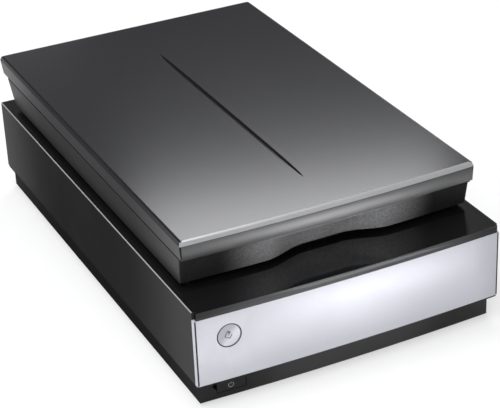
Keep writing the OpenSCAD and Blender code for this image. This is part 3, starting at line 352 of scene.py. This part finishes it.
LAMPS = {
    # name: (place, aim, (width, height), strength, what it lights)
    "overhead": ((-0.65, -0.3, 2.2), (0, 0, 0.1), (2.2, 2.2), 4.2, "all"),
    "rear": ((0.60, 0.95, 1.35), (0.35, -0.1, 0.75), (0.6, 0.9), 6.3, "all"),
    "front_high": ((0.8, -1.6, 1.2), (0, -0.2, 0.15), (1.1, 0.9), 0.3, "all"),
    "front_left": ((-0.75, -1.0, 0.7), (-0.1, -0.25, 0.06), (0.5, 0.5), 7.0, "matt"),
    "back_fill": ((-0.2, 1.5, 0.35), (0, 0.25, 0.05), (1.2, 0.5), 1.2, "all"),
    "lid_card": ((0.11, -0.47, 0.004), (0.11, -0.47, 1.0), (0.18, 0.17), 11.0, "gloss"),
    "panel_card": ((-0.08, -0.34, 0.004), (-0.08, -0.34, 1.0), (0.3, 0.08), 1.6, "gloss"),
}
for name, (place, aim, size, strength, lights) in LAMPS.items():
    soft_box(name, place, aim, size, strength, lights)

# %% [markdown]
# ## Moulded plastic
#
# Most of the case is black plastic. A flat black would look like paper, because what tells the
# eye "moulded" is the gloss: it is a little uneven, and the surface has a fine spark-eroded
# grain. So one recipe gives every plastic its tone, its gloss and its grain, and each part only
# says how much of each it has. Broad noise stains the tone and the gloss by a few percent, and
# fine noise stands up as relief.
#
# Lamps alone didn't give all the shading that the photograph shows. The masks in the next cell
# paint the rest of it in: pale edges, a pale middle on some fronts, and gloss that differs by
# which way a face looks. They were fitted to the photograph, not to known paint or wear, and they
# stay where they are under any other light.

# %% Masks for plastic
finishes = {}
SHINY_ENDS = (0.06, 0.25)
WALL_MIDDLE = 0.01
MIDDLE_HALF = 0.11
LIP_HALF = (0.05, 0.15)


def gloss(f, roughness, top=0.0, front=0.0, side=0.0, back=0.0):
    """A clear polish, by share, on the faces that look up, forward, back or to the sides.

    The sides shine only toward their two ends, as in the photograph.
    """
    up, ahead, across = (f.facing(axis) for axis in "ZYX")
    along = f.axis("Y") - WALL_MIDDLE
    ends = f.step(along * along, *(v ** 2 for v in SHINY_ENDS))
    share = (f.step(up, 0.85, 0.98, 0, top) + f.step(-1 * ahead, 0.85, 0.98, 0, front)
             + f.step(ahead, 0.6, 0.9, 0, back)
             + f.step(across * across, 0.4, 0.8, 0, side) * ends)
    f.set(coat_weight=share, coat_roughness=roughness)


def pale_edges(f, colour):
    """Paint the rounded edges round the top of a part paler, for their line of light."""
    up = f.facing("Z")
    f.paint = f.mix(f.step(up, 0.2, 0.4) * f.step(up, 0.97, 0.85), f.paint, colour)
    f.set(base_color=f.paint)


def pale_lip(f, colour, end_colour):
    """Paint the faces that look forward paler, most of all in the middle: a painted highlight."""
    across = f.axis("X")
    grey = f.mix(f.step(across * across, *(v ** 2 for v in LIP_HALF)), colour, end_colour)
    f.paint = f.mix(f.step(-1 * f.facing("Y"), 0.85, 0.98), f.paint, grey)
    f.set(base_color=f.paint)


def paler_middle(f, colour):
    """Paint the faces that look forward paler toward the middle, for their soft highlight."""
    across, ahead = f.axis("X"), f.facing("Y")
    middle = f.step(across * across, MIDDLE_HALF ** 2, 0.0) * f.step(-1 * ahead, 0.5, 0.8)
    grey = f.mix(1.0, colour, f.tint, "MULTIPLY")
    f.set(base_color=f.mix(middle, f.paint, grey))


print("mask limits in metres:", SHINY_ENDS, MIDDLE_HALF, LIP_HALF)

# %% [markdown]
# A plastic could be one image wrapped round the part, but noise that is measured in metres has
# no seams and keeps the same grain on every part, large or small.

# %% The recipe for plastic
BROAD = 0.05


def grey_of(f, level):
    """A grey colour of a varying level."""
    return f.node("ShaderNodeCombineColor", None, {0: level, 1: level, 2: level})


def plastic(name, colour, roughness, grain=0.0004, relief=0.00002, uneven=0.06, sheen=0.06,
            speckle=0.1, **shader):
    """Moulded plastic: grain is the size of its texture and relief the height of it."""
    f = Finish(name, specular_ior_level=sheen, **shader)
    cloud = f.noise(BROAD, detail=3)
    fine = f.noise(grain, detail=2)
    tint = f.step(cloud, 0.3, 0.7, 1 - uneven, 1 + uneven) + (fine - 0.5) * speckle
    f.tint = grey_of(f, tint)
    f.paint = f.mix(1.0, colour, f.tint, "MULTIPLY")
    patchy = f.step(cloud, 0.25, 0.75, roughness - 0.03, roughness + 0.03)
    f.set(base_color=f.paint, roughness=patchy + (fine - 0.5) * 0.06)
    f.bump(fine, relief)
    finishes[name] = f.material
    return f


print("one recipe, with stains", BROAD * 1000, "mm wide")

# %% Mix the plastics
case = plastic("case_dark", tone(18, 18, 19), 0.5, sheen=0.004)
gloss(case, 0.25, front=0.45, side=0.08, back=0.3)
paler_middle(case, tone(56, 56, 57))
deck = plastic("deck_dark", tone(20, 20, 21), 0.5, relief=0.000008, sheen=0.01, coat_ior=1.9)
gloss(deck, 0.09, top=1, front=0.1, side=0.2, back=0.3)
# The pale edges and the paler lip of the deck are painted highlights.
pale_edges(deck, tone(150, 150, 151))
pale_lip(deck, tone(84, 84, 85), tone(48, 48, 49))
skirt = plastic("skirt_dark", tone(40, 40, 41), 0.5, grain=0.002, relief=0.0003, sheen=0.03,
                speckle=1.0)
gloss(skirt, 0.3, side=0.5)
paler_middle(skirt, tone(172, 172, 173))
plastic("inner_dark", tone(38, 38, 39), 0.6, relief=0.00004)
plastic("port_black", tone(24, 24, 24), 0.5)
plastic("lens_black", tone(16, 16, 17), 0.35)
plastic("belt_black", tone(26, 26, 26), 0.75, grain=0.0006, relief=0.0001)
plastic("rubber", tone(22, 22, 22), 0.85, grain=0.0007, relief=0.00008)
plastic("nylon", tone(226, 222, 206), 0.45, uneven=0.03, subsurface_weight=0.1)
plastic("lamp_white", tone(240, 240, 234), 0.3, uneven=0.02)
plastic("mat_white", tone(240, 240, 238), 0.65, grain=0.0012, relief=0.00006, uneven=0.012)
plastic("scale_white", tone(214, 214, 208), 0.5, uneven=0.02)
print("plastics:", sorted(finishes))

# %% [markdown]
# ## Metallic paints and metals
#
# The lid is painted gunmetal and the front panel silver. Both paints hold metal flakes: a metal
# shader gives the broad soft gloss, and a cell texture finer than a millimetre makes single
# flakes a touch lighter or darker. Bare steel and zinc get stretched noise instead, because
# turning and rolling leave lines.

# %% Recipes for paint and metal
FLAKE = 0.00045
MARKS_PER_M = 900.0
BEVEL_Y = (-0.19, -0.2)
LID_TOP, GROOVE_HALF = 0.152, 0.006
BUTTON_SHADE = (-0.198, -0.186)


def metallic_paint(name, colour, roughness, metal, sparkle, sheen=0.1):
    """Paint with flakes in it: sparkle is how far single flakes differ from the rest."""
    f = Finish(name, specular_ior_level=sheen, metallic=metal)
    flakes = f.node("ShaderNodeTexVoronoi", {"feature": "F1"},
                    {"Vector": f.place, "Scale": 1 / FLAKE}, output="Color")
    grey = f.node("ShaderNodeSeparateColor", None, {0: flakes}, output=0)
    cloud = f.noise(0.08, detail=2)
    level = f.step(cloud, 0.3, 0.7, 0.97, 1.03) * f.step(grey, 0.0, 1.0, 1 - sparkle, 1 + sparkle)
    f.paint = f.mix(1.0, colour, grey_of(f, level), "MULTIPLY")
    f.set(base_color=f.paint, roughness=f.step(grey, 0, 1, roughness - 0.02, roughness + 0.02))
    finishes[name] = f.material
    return f


def bare_metal(name, colour, roughness, lines=(1.0, 1.0, 1.0)):
    """Steel, zinc and bronze: lines says how much finer the marks are along each axis."""
    f = Finish(name, metallic=1.0)
    stretched = f.node("ShaderNodeVectorMath", {"operation": "MULTIPLY"}, {0: f.place, 1: lines})
    marks = f.node("ShaderNodeTexNoise", {"noise_dimensions": "3D"},
                   {"Vector": stretched, "Scale": MARKS_PER_M, "Detail": 3.0})
    level = f.step(marks, 0.3, 0.7, 0.88, 1.06)
    f.set(base_color=f.mix(1.0, colour, grey_of(f, level), "MULTIPLY"),
          roughness=f.step(marks, 0.3, 0.7, roughness - 0.06, roughness + 0.08))
    f.bump(marks, 0.00001)
    finishes[name] = f.material
    return f


def pale_slope(f, colour):
    """Paint the slope round the front of the lid a paler, partly metallic grey, for the bright line
    along it.
    """
    ahead, up = f.facing("Y"), f.facing("Z")
    slope = (f.step(-1 * ahead, 0.35, 0.5) * f.step(up, 0.2, 0.35)
             * f.step(f.axis("Y"), *BEVEL_Y))
    f.set(base_color=f.mix(slope, f.paint, colour), metallic=slope * 0.6)


def shaded_groove(f, top_z, half_width, colour):
    """Paint the slim groove along the lid darker below the top: painted shade in the groove."""
    below = f.step(f.axis("Z"), top_z - 0.0001, top_z - 0.0004)
    across = f.axis("X")
    f.paint = f.mix(below * f.step(across * across, half_width ** 2, 0.8 * half_width ** 2),
                    f.paint, colour)


print("flakes of", FLAKE * 1000, "mm")

# %% Mix the paints and metals
lid_paint = metallic_paint("lid_gunmetal", tone(32, 32, 35), 0.4, 0.0, 0.05, sheen=0.03)
gloss(lid_paint, 0.18, top=1, side=0.5)
# The groove's dark colour is painted shade.
shaded_groove(lid_paint, LID_TOP, GROOVE_HALF, tone(16, 16, 17))
pale_slope(lid_paint, tone(190, 190, 192))
fascia = metallic_paint("fascia_grey", tone(60, 60, 61), 0.42, 0.5, 0.04)
gloss(fascia, 0.4, front=1)
fascia.set(coat_ior=1.6)
gloss(metallic_paint("panel_silver", tone(198, 198, 205), 0.45, 0.25, 0.02), 0.5, front=0.2)
button = metallic_paint("button_silver", tone(196, 197, 202), 0.3, 0.3, 0.02)
# The upper left of the dished button is painted darker, for the shade that it shows.
shaded = button.step(button.axis("X") - button.axis("Z"), *BUTTON_SHADE, 0.62, 1.0)
button.set(base_color=button.mix(1.0, button.paint, grey_of(button, shaded), "MULTIPLY"))
bare_metal("steel", tone(190, 190, 188), 0.25, (1.0, 0.08, 1.0))
bare_metal("zinc_plate", tone(170, 172, 170), 0.42)
bare_metal("bronze", tone(186, 142, 84), 0.4)
bare_metal("mirror", tone(236, 238, 240), 0.05)
bare_metal("port_metal", tone(200, 200, 198), 0.3)
print("metals:", [n for n in finishes if "steel" in n or "silver" in n])

# %% [markdown]
# ## Glass, circuit boards and light guides
#
# The scanning glass is clear float glass, and the film window is opal acrylic that scatters.
# Real glass shows by its edges and its reflections, so it only needs a true index of refraction.
# The boards are green lacquer over a copper pattern, which two wave textures can draw.

# %% Glass and boards


def glass(name, colour, roughness, clear):
    """Glass or acrylic: clear is the share of light that goes through it unscattered."""
    f = Finish(name, transmission_weight=clear, ior=1.5, roughness=roughness)
    dust = f.noise(0.03, detail=4)
    f.set(base_color=f.mix(f.step(dust, 0.4, 0.8), colour, tuple(0.96 * c for c in colour)),
          roughness=f.step(dust, 0.3, 0.8, roughness, roughness + 0.02))
    finishes[name] = f.material
    return f


TRACKS_PER_M = 110.0
CHIP_TOP_MM = 31.6


def circuit_board(name, above=None):
    """Lacquered board. What stands above a level (mm) is black plastic."""
    f = Finish(name)
    tracks = [f.node("ShaderNodeTexWave", {"wave_type": "BANDS", "bands_direction": d},
                     {"Vector": f.place, "Scale": TRACKS_PER_M, "Distortion": 3.0, "Detail": 1.0,
                      "Detail Scale": 0.6}, output="Fac") for d in ("X", "Y")]
    copper = f.step(tracks[0] * tracks[1], 0.55, 0.6)
    lacquer = f.mix(copper, tone(24, 74, 42), tone(52, 112, 62))
    if above:
        past = f.step(f.axis("Z") - above * MM, 0.00004, 0.00008)
        lacquer = f.mix(past, lacquer, tone(30, 30, 32))
    f.set(base_color=lacquer, roughness=f.step(copper, 0, 1, 0.35, 0.28))
    f.bump(copper, 0.00003)
    finishes[name] = f.material
    return f


glass("glass_clear", (0.93, 0.98, 0.96), 0.01, 1.0)
glass("glass_opal", (0.93, 0.95, 0.96), 0.35, 0.35)
glass("light_smoke", tone(70, 84, 80), 0.15, 0.6)
circuit_board("board_green")
circuit_board("board_main", CHIP_TOP_MM)
print(len(finishes), "finishes so far")

# %% [markdown]
# ## Prints, lines and coated glass
#
# The last finishes are for the small pieces: grey and pale prints, the dark line of painted shade
# round the silver panel, label foil, and lens glass with its violet coating, which shows at a
# slant.

# %% Finishes for small pieces
plastic("print_grey", tone(92, 94, 98), 0.45, relief=0.000004)
plastic("print_pale", tone(150, 152, 154), 0.45, relief=0.000004)
# line_dark paints in shade: the dark lines round the start button and at the panel's ends.
plastic("line_dark", tone(58, 58, 61), 0.4, relief=0.000004)
plastic("label_foil", tone(196, 198, 198), 0.35, grain=0.0008, relief=0.000006, uneven=0.03)


def coated_glass(name):
    """Lens glass that turns from pale blue to violet as it is seen at a slant."""
    f = Finish(name, transmission_weight=0.9, ior=1.52, coat_weight=1.0, coat_roughness=0.02)
    slant = f.node("ShaderNodeLayerWeight", None, {"Blend": 0.35}, output="Facing")
    smudge = f.noise(0.004, detail=3)
    f.set(base_color=f.mix(f.step(slant, 0.1, 0.9), (0.80, 0.88, 0.93), (0.62, 0.45, 0.85)),
          roughness=f.step(smudge, 0.4, 0.8, 0.01, 0.04))
    finishes[name] = f.material
    return f


coated_glass("glass_coated")
print(len(finishes), "finishes in all")

# %% [markdown]
# ## Dress the solids
#
# Each solid arrives with a slot that says what it is made of, so dressing is a swap: the plain
# stand-in of every slot becomes the finish of the same name.

# %% Give every node its finish
for name, node in sorted(frame["nodes"].items()):
    for slot in node.material_slots:
        slot.material = finishes[slot.material.name.split(".")[0]]
frame["nodes"]["main_board"].material_slots[0].material = finishes["board_main"]
print("dressed", len(frame["nodes"]), "nodes in", len(finishes), "finishes")

# %% [markdown]
# ## Moulded edges
#
# No moulded edge is perfectly sharp, and the thin light line along an edge is what makes a dark
# part read as solid. The solids could be rebuilt with round edges, but a Bevel modifier does it
# without touching them. Each face arrives with its own corner points, so a Weld modifier joins
# them first, and then the Bevel finds the edges by their angle.

# %% Round the edges
EDGE_MM = {
    "upper_housing": 0.5, "base_tray": 0.5, "front_panel": 0.35, "power_button": 0.4,
    "lid_fascia": 0.25, "lid_skirt": 0.3, "lid_frame": 0.3, "document_mat": 0.8,
    "carriage_housing": 0.5, "carriage_cover": 0.4, "hinge_arms": 0.4, "hinge_posts": 0.5,
    "mat_rails": 0.3, "glass_bezel": 0.15, "scan_glass": 0.2, "film_window": 0.2,
    "lamp_carriage": 0.5, "lock_knob": 0.4, "feet": 0.5, "glide_shoe": 0.4, "lens_plate": 0.3,
}


WELD_WITHIN, SHARPEST = 1e-6, math.radians(35)


def round_edges(node, width):
    """Join the corner points of a node, then round the edges that are sharper than a limit."""
    weld = node.modifiers.new("join", "WELD")
    weld.merge_threshold = WELD_WITHIN
    bevel = node.modifiers.new("edge", "BEVEL")
    bevel.width = width
    bevel.segments = 2
    bevel.limit_method = "ANGLE"
    bevel.angle_limit = SHARPEST
    bevel.miter_outer = "MITER_ARC"


for name, width in EDGE_MM.items():
    round_edges(frame["nodes"][name], width * MM)
print("rounded", len(EDGE_MM), "nodes")

# %% [markdown]
# ## Pieces for the small things
#
# What follows is printed on the machine or set into it: the signs on the two buttons, the ring of
# painted shadow round the start button, the line of painted shade at each end of the silver panel,
# the lens glasses and two foil plates. Each piece is a mesh made from a profile, and it rides on
# the body it belongs to, so it moves when that body moves. The front of the machine bows out by a
# few millimetres, so anything on it takes its depth from the same arc.

# %% Helpers for pieces
BASE_W, BASE_BOW, FRONT_Y = 308.0, 3.8, -251.5
BOW_R = (BASE_W ** 2 / 4 + BASE_BOW ** 2) / (2 * BASE_BOW)


def bowed_y(x):
    """Depth of the machine's bowed front at a place across it, in millimetres."""
    return FRONT_Y + BOW_R - math.sqrt(BOW_R ** 2 - x * x)


def piece(name, points, faces, finish, body):
    """A mesh in millimetres that rides on a body and takes a finish."""
    mesh = bpy.data.meshes.new(name)
    mesh.from_pydata([tuple(c * MM for c in p) for p in points], [], faces)
    bm = bmesh.new()
    bm.from_mesh(mesh)
    bmesh.ops.remove_doubles(bm, verts=bm.verts, dist=1e-7)
    bmesh.ops.recalc_face_normals(bm, faces=bm.faces)
    bm.to_mesh(mesh)
    bm.free()
    made = bpy.data.objects.new(name, mesh)
    scene.collection.objects.link(made)
    mesh.materials.append(finishes[finish])
    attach(made, body)
    return made


def band(path, width, closed=False):
    """Outer and inner outlines of a line of even width drawn along a flat path."""
    count, left, right = len(path), [], []
    for i, here in enumerate(path):
        before = path[(i - 1) % count] if closed or i else here
        after = path[(i + 1) % count] if closed or i < count - 1 else here
        one, two = Vector(here) - Vector(before), Vector(after) - Vector(here)
        ways = [v.normalized() for v in (one, two) if v.length > 1e-9]
        way = sum(ways, Vector((0, 0))).normalized()
        side = Vector((-way.y, way.x)) * (width / 2) / max(way.dot(ways[0]), 0.5)
        left.append(tuple(Vector(here) + side))
        right.append(tuple(Vector(here) - side))
    return left, right


def inlay(outlines, lift, sink, closed=False):
    """A thin solid strip between two outlines, from lift to sink, laid on a surface.

    lift and sink each turn a flat point (u, v) into a place in millimetres.
    """
    left, right = outlines
    n = len(left)
    points = [lift(*p) for p in left + right] + [sink(*p) for p in left + right]
    faces = []
    for i in range(n if closed else n - 1):
        j = (i + 1) % n
        faces += [(i, j, n + j, n + i), (2 * n + i, 3 * n + i, 3 * n + j, 2 * n + j),
                  (i, 2 * n + i, 2 * n + j, j), (n + i, n + j, 3 * n + j, 3 * n + i)]
    if not closed:
        faces += [(0, n, 3 * n, 2 * n), (n - 1, 3 * n - 1, 4 * n - 1, 2 * n - 1)]
    return points, faces


def arc(radius, start, end, steps=48):
    """Points of a circle about the origin, between two angles in degrees."""
    turn = [math.radians(start + (end - start) * i / steps) for i in range(steps + 1)]
    return [(radius * math.cos(a), radius * math.sin(a)) for a in turn]


print("front at the middle", FRONT_Y, "mm, at the ends", round(bowed_y(BASE_W / 2), 2), "mm")

# %% [markdown]
# ## Signs on the buttons
#
# Both signs are generic. The start button shows a sheet turned on its corner with an arrow that
# rises out of it, and the power button has the usual ring with a bar. A sign is a thin inlay: its
# front stands a few hundredths proud, and its back sits inside the button.

# %% Start sign
START_X, START_Z, START_R = -122.0, 71.0, 10.6
DISH_R, DISH_DEPTH = 60.0, 0.9
FACE_STEP = 0.1
SIGN_LINE, SIGN_PROUD, SIGN_SUNK = 0.55, 0.03, -0.2


def on_start_face(proud):
    """Turns a point on the dished start button into a place."""
    face = bowed_y(START_X) + FACE_STEP + DISH_DEPTH - DISH_R

    def place(u, v):
        return (START_X + u, face + math.sqrt(DISH_R ** 2 - u * u - v * v) - proud, START_Z + v)
    return place


def turned(points, angle, dx=0.0, dy=0.0):
    """Flat points turned about the origin by an angle in degrees, then moved."""
    c, s = math.cos(math.radians(angle)), math.sin(math.radians(angle))
    return [(c * u - s * v + dx, s * u + c * v + dy) for u, v in points]


sheet = turned([(-1.2, 3.0), (-2.7, 3.0), (-2.7, -2.8), (2.7, -2.8), (2.7, 1.4)], -30)
shaft = turned([(0, -0.9), (0, 2.6)], -16, 0.1, 0.2)
tip = turned([(-1.1, 1.7), (0, 3.0), (1.1, 1.7)], -16, 0.1, 0.2)


def sign(name, paths, place, finish, body):
    """One piece made of a line along each path, with place giving points at a height."""
    points, faces = [], []
    for path in paths:
        more, sides = inlay(band(path, SIGN_LINE), place(SIGN_PROUD), place(SIGN_SUNK))
        faces += [tuple(i + len(points) for i in face) for face in sides]
        points += more
    print(name, "has", len(faces), "faces")
    return piece(name, points, faces, finish, body)


sign("start_sign", (sheet, shaft, tip), on_start_face, "print_grey", "start_button")

# %% Standby sign
POWER_X, POWER_Z = -118.4, 14.4
PLINTH_STEP = 9.4
PLINTH_FACE = bowed_y(POWER_X) + PLINTH_STEP + FACE_STEP


def on_power_face(proud):
    """Turns a point on the power button, whose face follows the bow as one flat, into a place."""
    slope = math.asin(POWER_X / BOW_R)

    def place(u, v):
        return (POWER_X + u * math.cos(slope) + proud * math.sin(slope),
                PLINTH_FACE + u * math.sin(slope) - proud * math.cos(slope), POWER_Z + v)
    return place


ring = turned(arc(2.4, 125, 415), 0, -0.3, -0.9)
bar = turned([(0, 0.6), (0, 3.1)], 0, -0.3, -0.9)
sign("standby_sign", (ring, bar), on_power_face, "print_pale", "power_button")

# %% [markdown]
# ## Dark lines on the silver panel
#
# Round the start button the panel turns in, into shade, and the same shade shows as a fine upright
# line at both ends of the panel. Both are painted shade: shallow dark inlays that follow the bow.

# %% Panel lines
LINE_PROUD, LINE_SUNK = 0.03, -0.3
RING_GAP, RING_WIDTH = 0.75, 0.8
PANEL_LOW, PANEL_HIGH = 27.2, 93.0
END_X, END_WIDTH, END_STEPS = 152.7, 1.4, 12


def on_front(proud):
    """Turns a point (x, z) on the bowed front into a place."""
    return lambda x, z: (x, bowed_y(x) - proud, z)


def shade_line(name, path, width, closed=False):
    """A shallow dark inlay of painted shade along a path on the bowed front."""
    points, faces = inlay(band(path, width, closed), on_front(LINE_PROUD), on_front(LINE_SUNK),
                          closed)
    return piece(name, points, faces, "line_dark", "base")


# The ring is painted shade in the gap round the start button.
circle = arc(START_R + RING_GAP, 0, 360)[:-1]
shade_line("start_ring", [(START_X + u, START_Z + v) for u, v in circle], RING_WIDTH, closed=True)
# The upright lines are painted shade at both ends of the panel.
for side, x in (("left", -END_X), ("right", END_X)):
    rise = (PANEL_HIGH - PANEL_LOW) / END_STEPS
    shade_line("panel_line_" + side,
              [(x, PANEL_LOW + rise * i) for i in range(END_STEPS + 1)], END_WIDTH)
print("panel lines made")

# %% [markdown]
# ## Lens glasses
#
# The two barrels on the sliding plate hold glass at both ends. A lens is a profile turned about
# its axis: two shallow arcs joined by a narrow rim.

# %% Turned solids
LENS_R = 10.0
BULGE, RIM = 0.9, 1.2


def turned_solid(profile, place, steps=48):
    """A profile of (radius, depth) points turned about its axis, with place giving (x, y, z)."""
    points, faces, rows = [], [], []
    for radius, depth in profile:
        if radius < 1e-6:
            rows.append([len(points)])
            points.append(place(0, 0, depth))
            continue
        rows.append(list(range(len(points), len(points) + steps)))
        for i in range(steps):
            a = 2 * math.pi * i / steps
            points.append(place(radius * math.cos(a), radius * math.sin(a), depth))
    for one, two in zip(rows, rows[1:]):
        for i in range(steps):
            j = (i + 1) % steps
            a, b = (one[0], one[0]) if len(one) == 1 else (one[i], one[j])
            c, d = (two[0], two[0]) if len(two) == 1 else (two[i], two[j])
            faces.append(tuple(dict.fromkeys((a, c, d, b))))
    return points, faces


def lens_profile(radius, bulge, rim):
    """Half outline of a double-bulged lens, from one pole over the rim to the other."""
    front = [(radius * i / 8, -rim / 2 - bulge * (1 - (i / 8) ** 2)) for i in range(9)]
    return front + [(r, -d) for r, d in reversed(front)]


print("lens profile has", len(lens_profile(LENS_R, BULGE, RIM)), "points")

# %% Set the glasses into the barrels
low, high = ([v / MM for v in corner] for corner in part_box("lens_barrels"))
lens_z = high[2] - LENS_R
FRONT_GLASS = ("front", low[1] + 1.7, LENS_R - 4.15)
REAR_GLASS = ("rear", high[1] - 2.2, LENS_R - 3.15)
for side, x in (("left", low[0] + LENS_R), ("right", high[0] - LENS_R)):
    for end, y, radius in (FRONT_GLASS, REAR_GLASS):
        points, faces = turned_solid(lens_profile(radius, BULGE, RIM),
                                     lambda u, v, d, x=x, y=y: (x + u, y + d, lens_z + v))
        piece("lens_%s_%s" % (side, end), points, faces, "glass_coated", "lens_slide")
print("lens glasses at height", round(lens_z, 1), "mm")

# %% [markdown]
# ## Foil plates
#
# A machine like this has a foil plate underneath and a small one above the sockets. Each is a
# plain rounded sheet: its face stands a few hundredths proud, and its back sits inside the case.

# %% Foil plates
FOIL_PROUD, FOIL_SUNK = 0.05, 0.3
REAR_PLATE, REAR_PLATE_Z = (64, 26, 2.5), 66
UNDER_PLATE, UNDER_PLATE_AT = (96, 58, 3), (30, 40)


def rounded(width, height, radius, steps=6):
    """Corner points of a rounded rectangle about the origin."""
    points = []
    for a, sx, sy in ((0, 1, 1), (90, -1, 1), (180, -1, -1), (270, 1, -1)):
        cx, cy = sx * (width / 2 - radius), sy * (height / 2 - radius)
        points += [(cx + u, cy + v) for u, v in arc(radius, a, a + 90, steps)]
    return points


def plate(name, outline, place):
    """A foil with a given outline, with place giving points at a height over the case."""
    n = len(outline)
    points = [place(height)(*p) for height in (FOIL_PROUD, -FOIL_SUNK) for p in outline]
    faces = [tuple(range(n)), tuple(range(n, 2 * n))]
    faces += [(i, (i + 1) % n, n + (i + 1) % n, n + i) for i in range(n)]
    return piece(name, points, faces, "label_foil", "base")


rear_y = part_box("upper_housing")[1][1] / MM
floor_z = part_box("base_tray")[0][2] / MM
plate("rear_plate", rounded(*REAR_PLATE),
      lambda height: lambda u, v: (u, rear_y + height, REAR_PLATE_Z + v))
plate("rating_plate", rounded(*UNDER_PLATE),
      lambda height: lambda u, v: (UNDER_PLATE_AT[0] + u, UNDER_PLATE_AT[1] + v,
                                   floor_z - height))
print("plates at y", round(rear_y, 1), "and z", round(floor_z, 1))
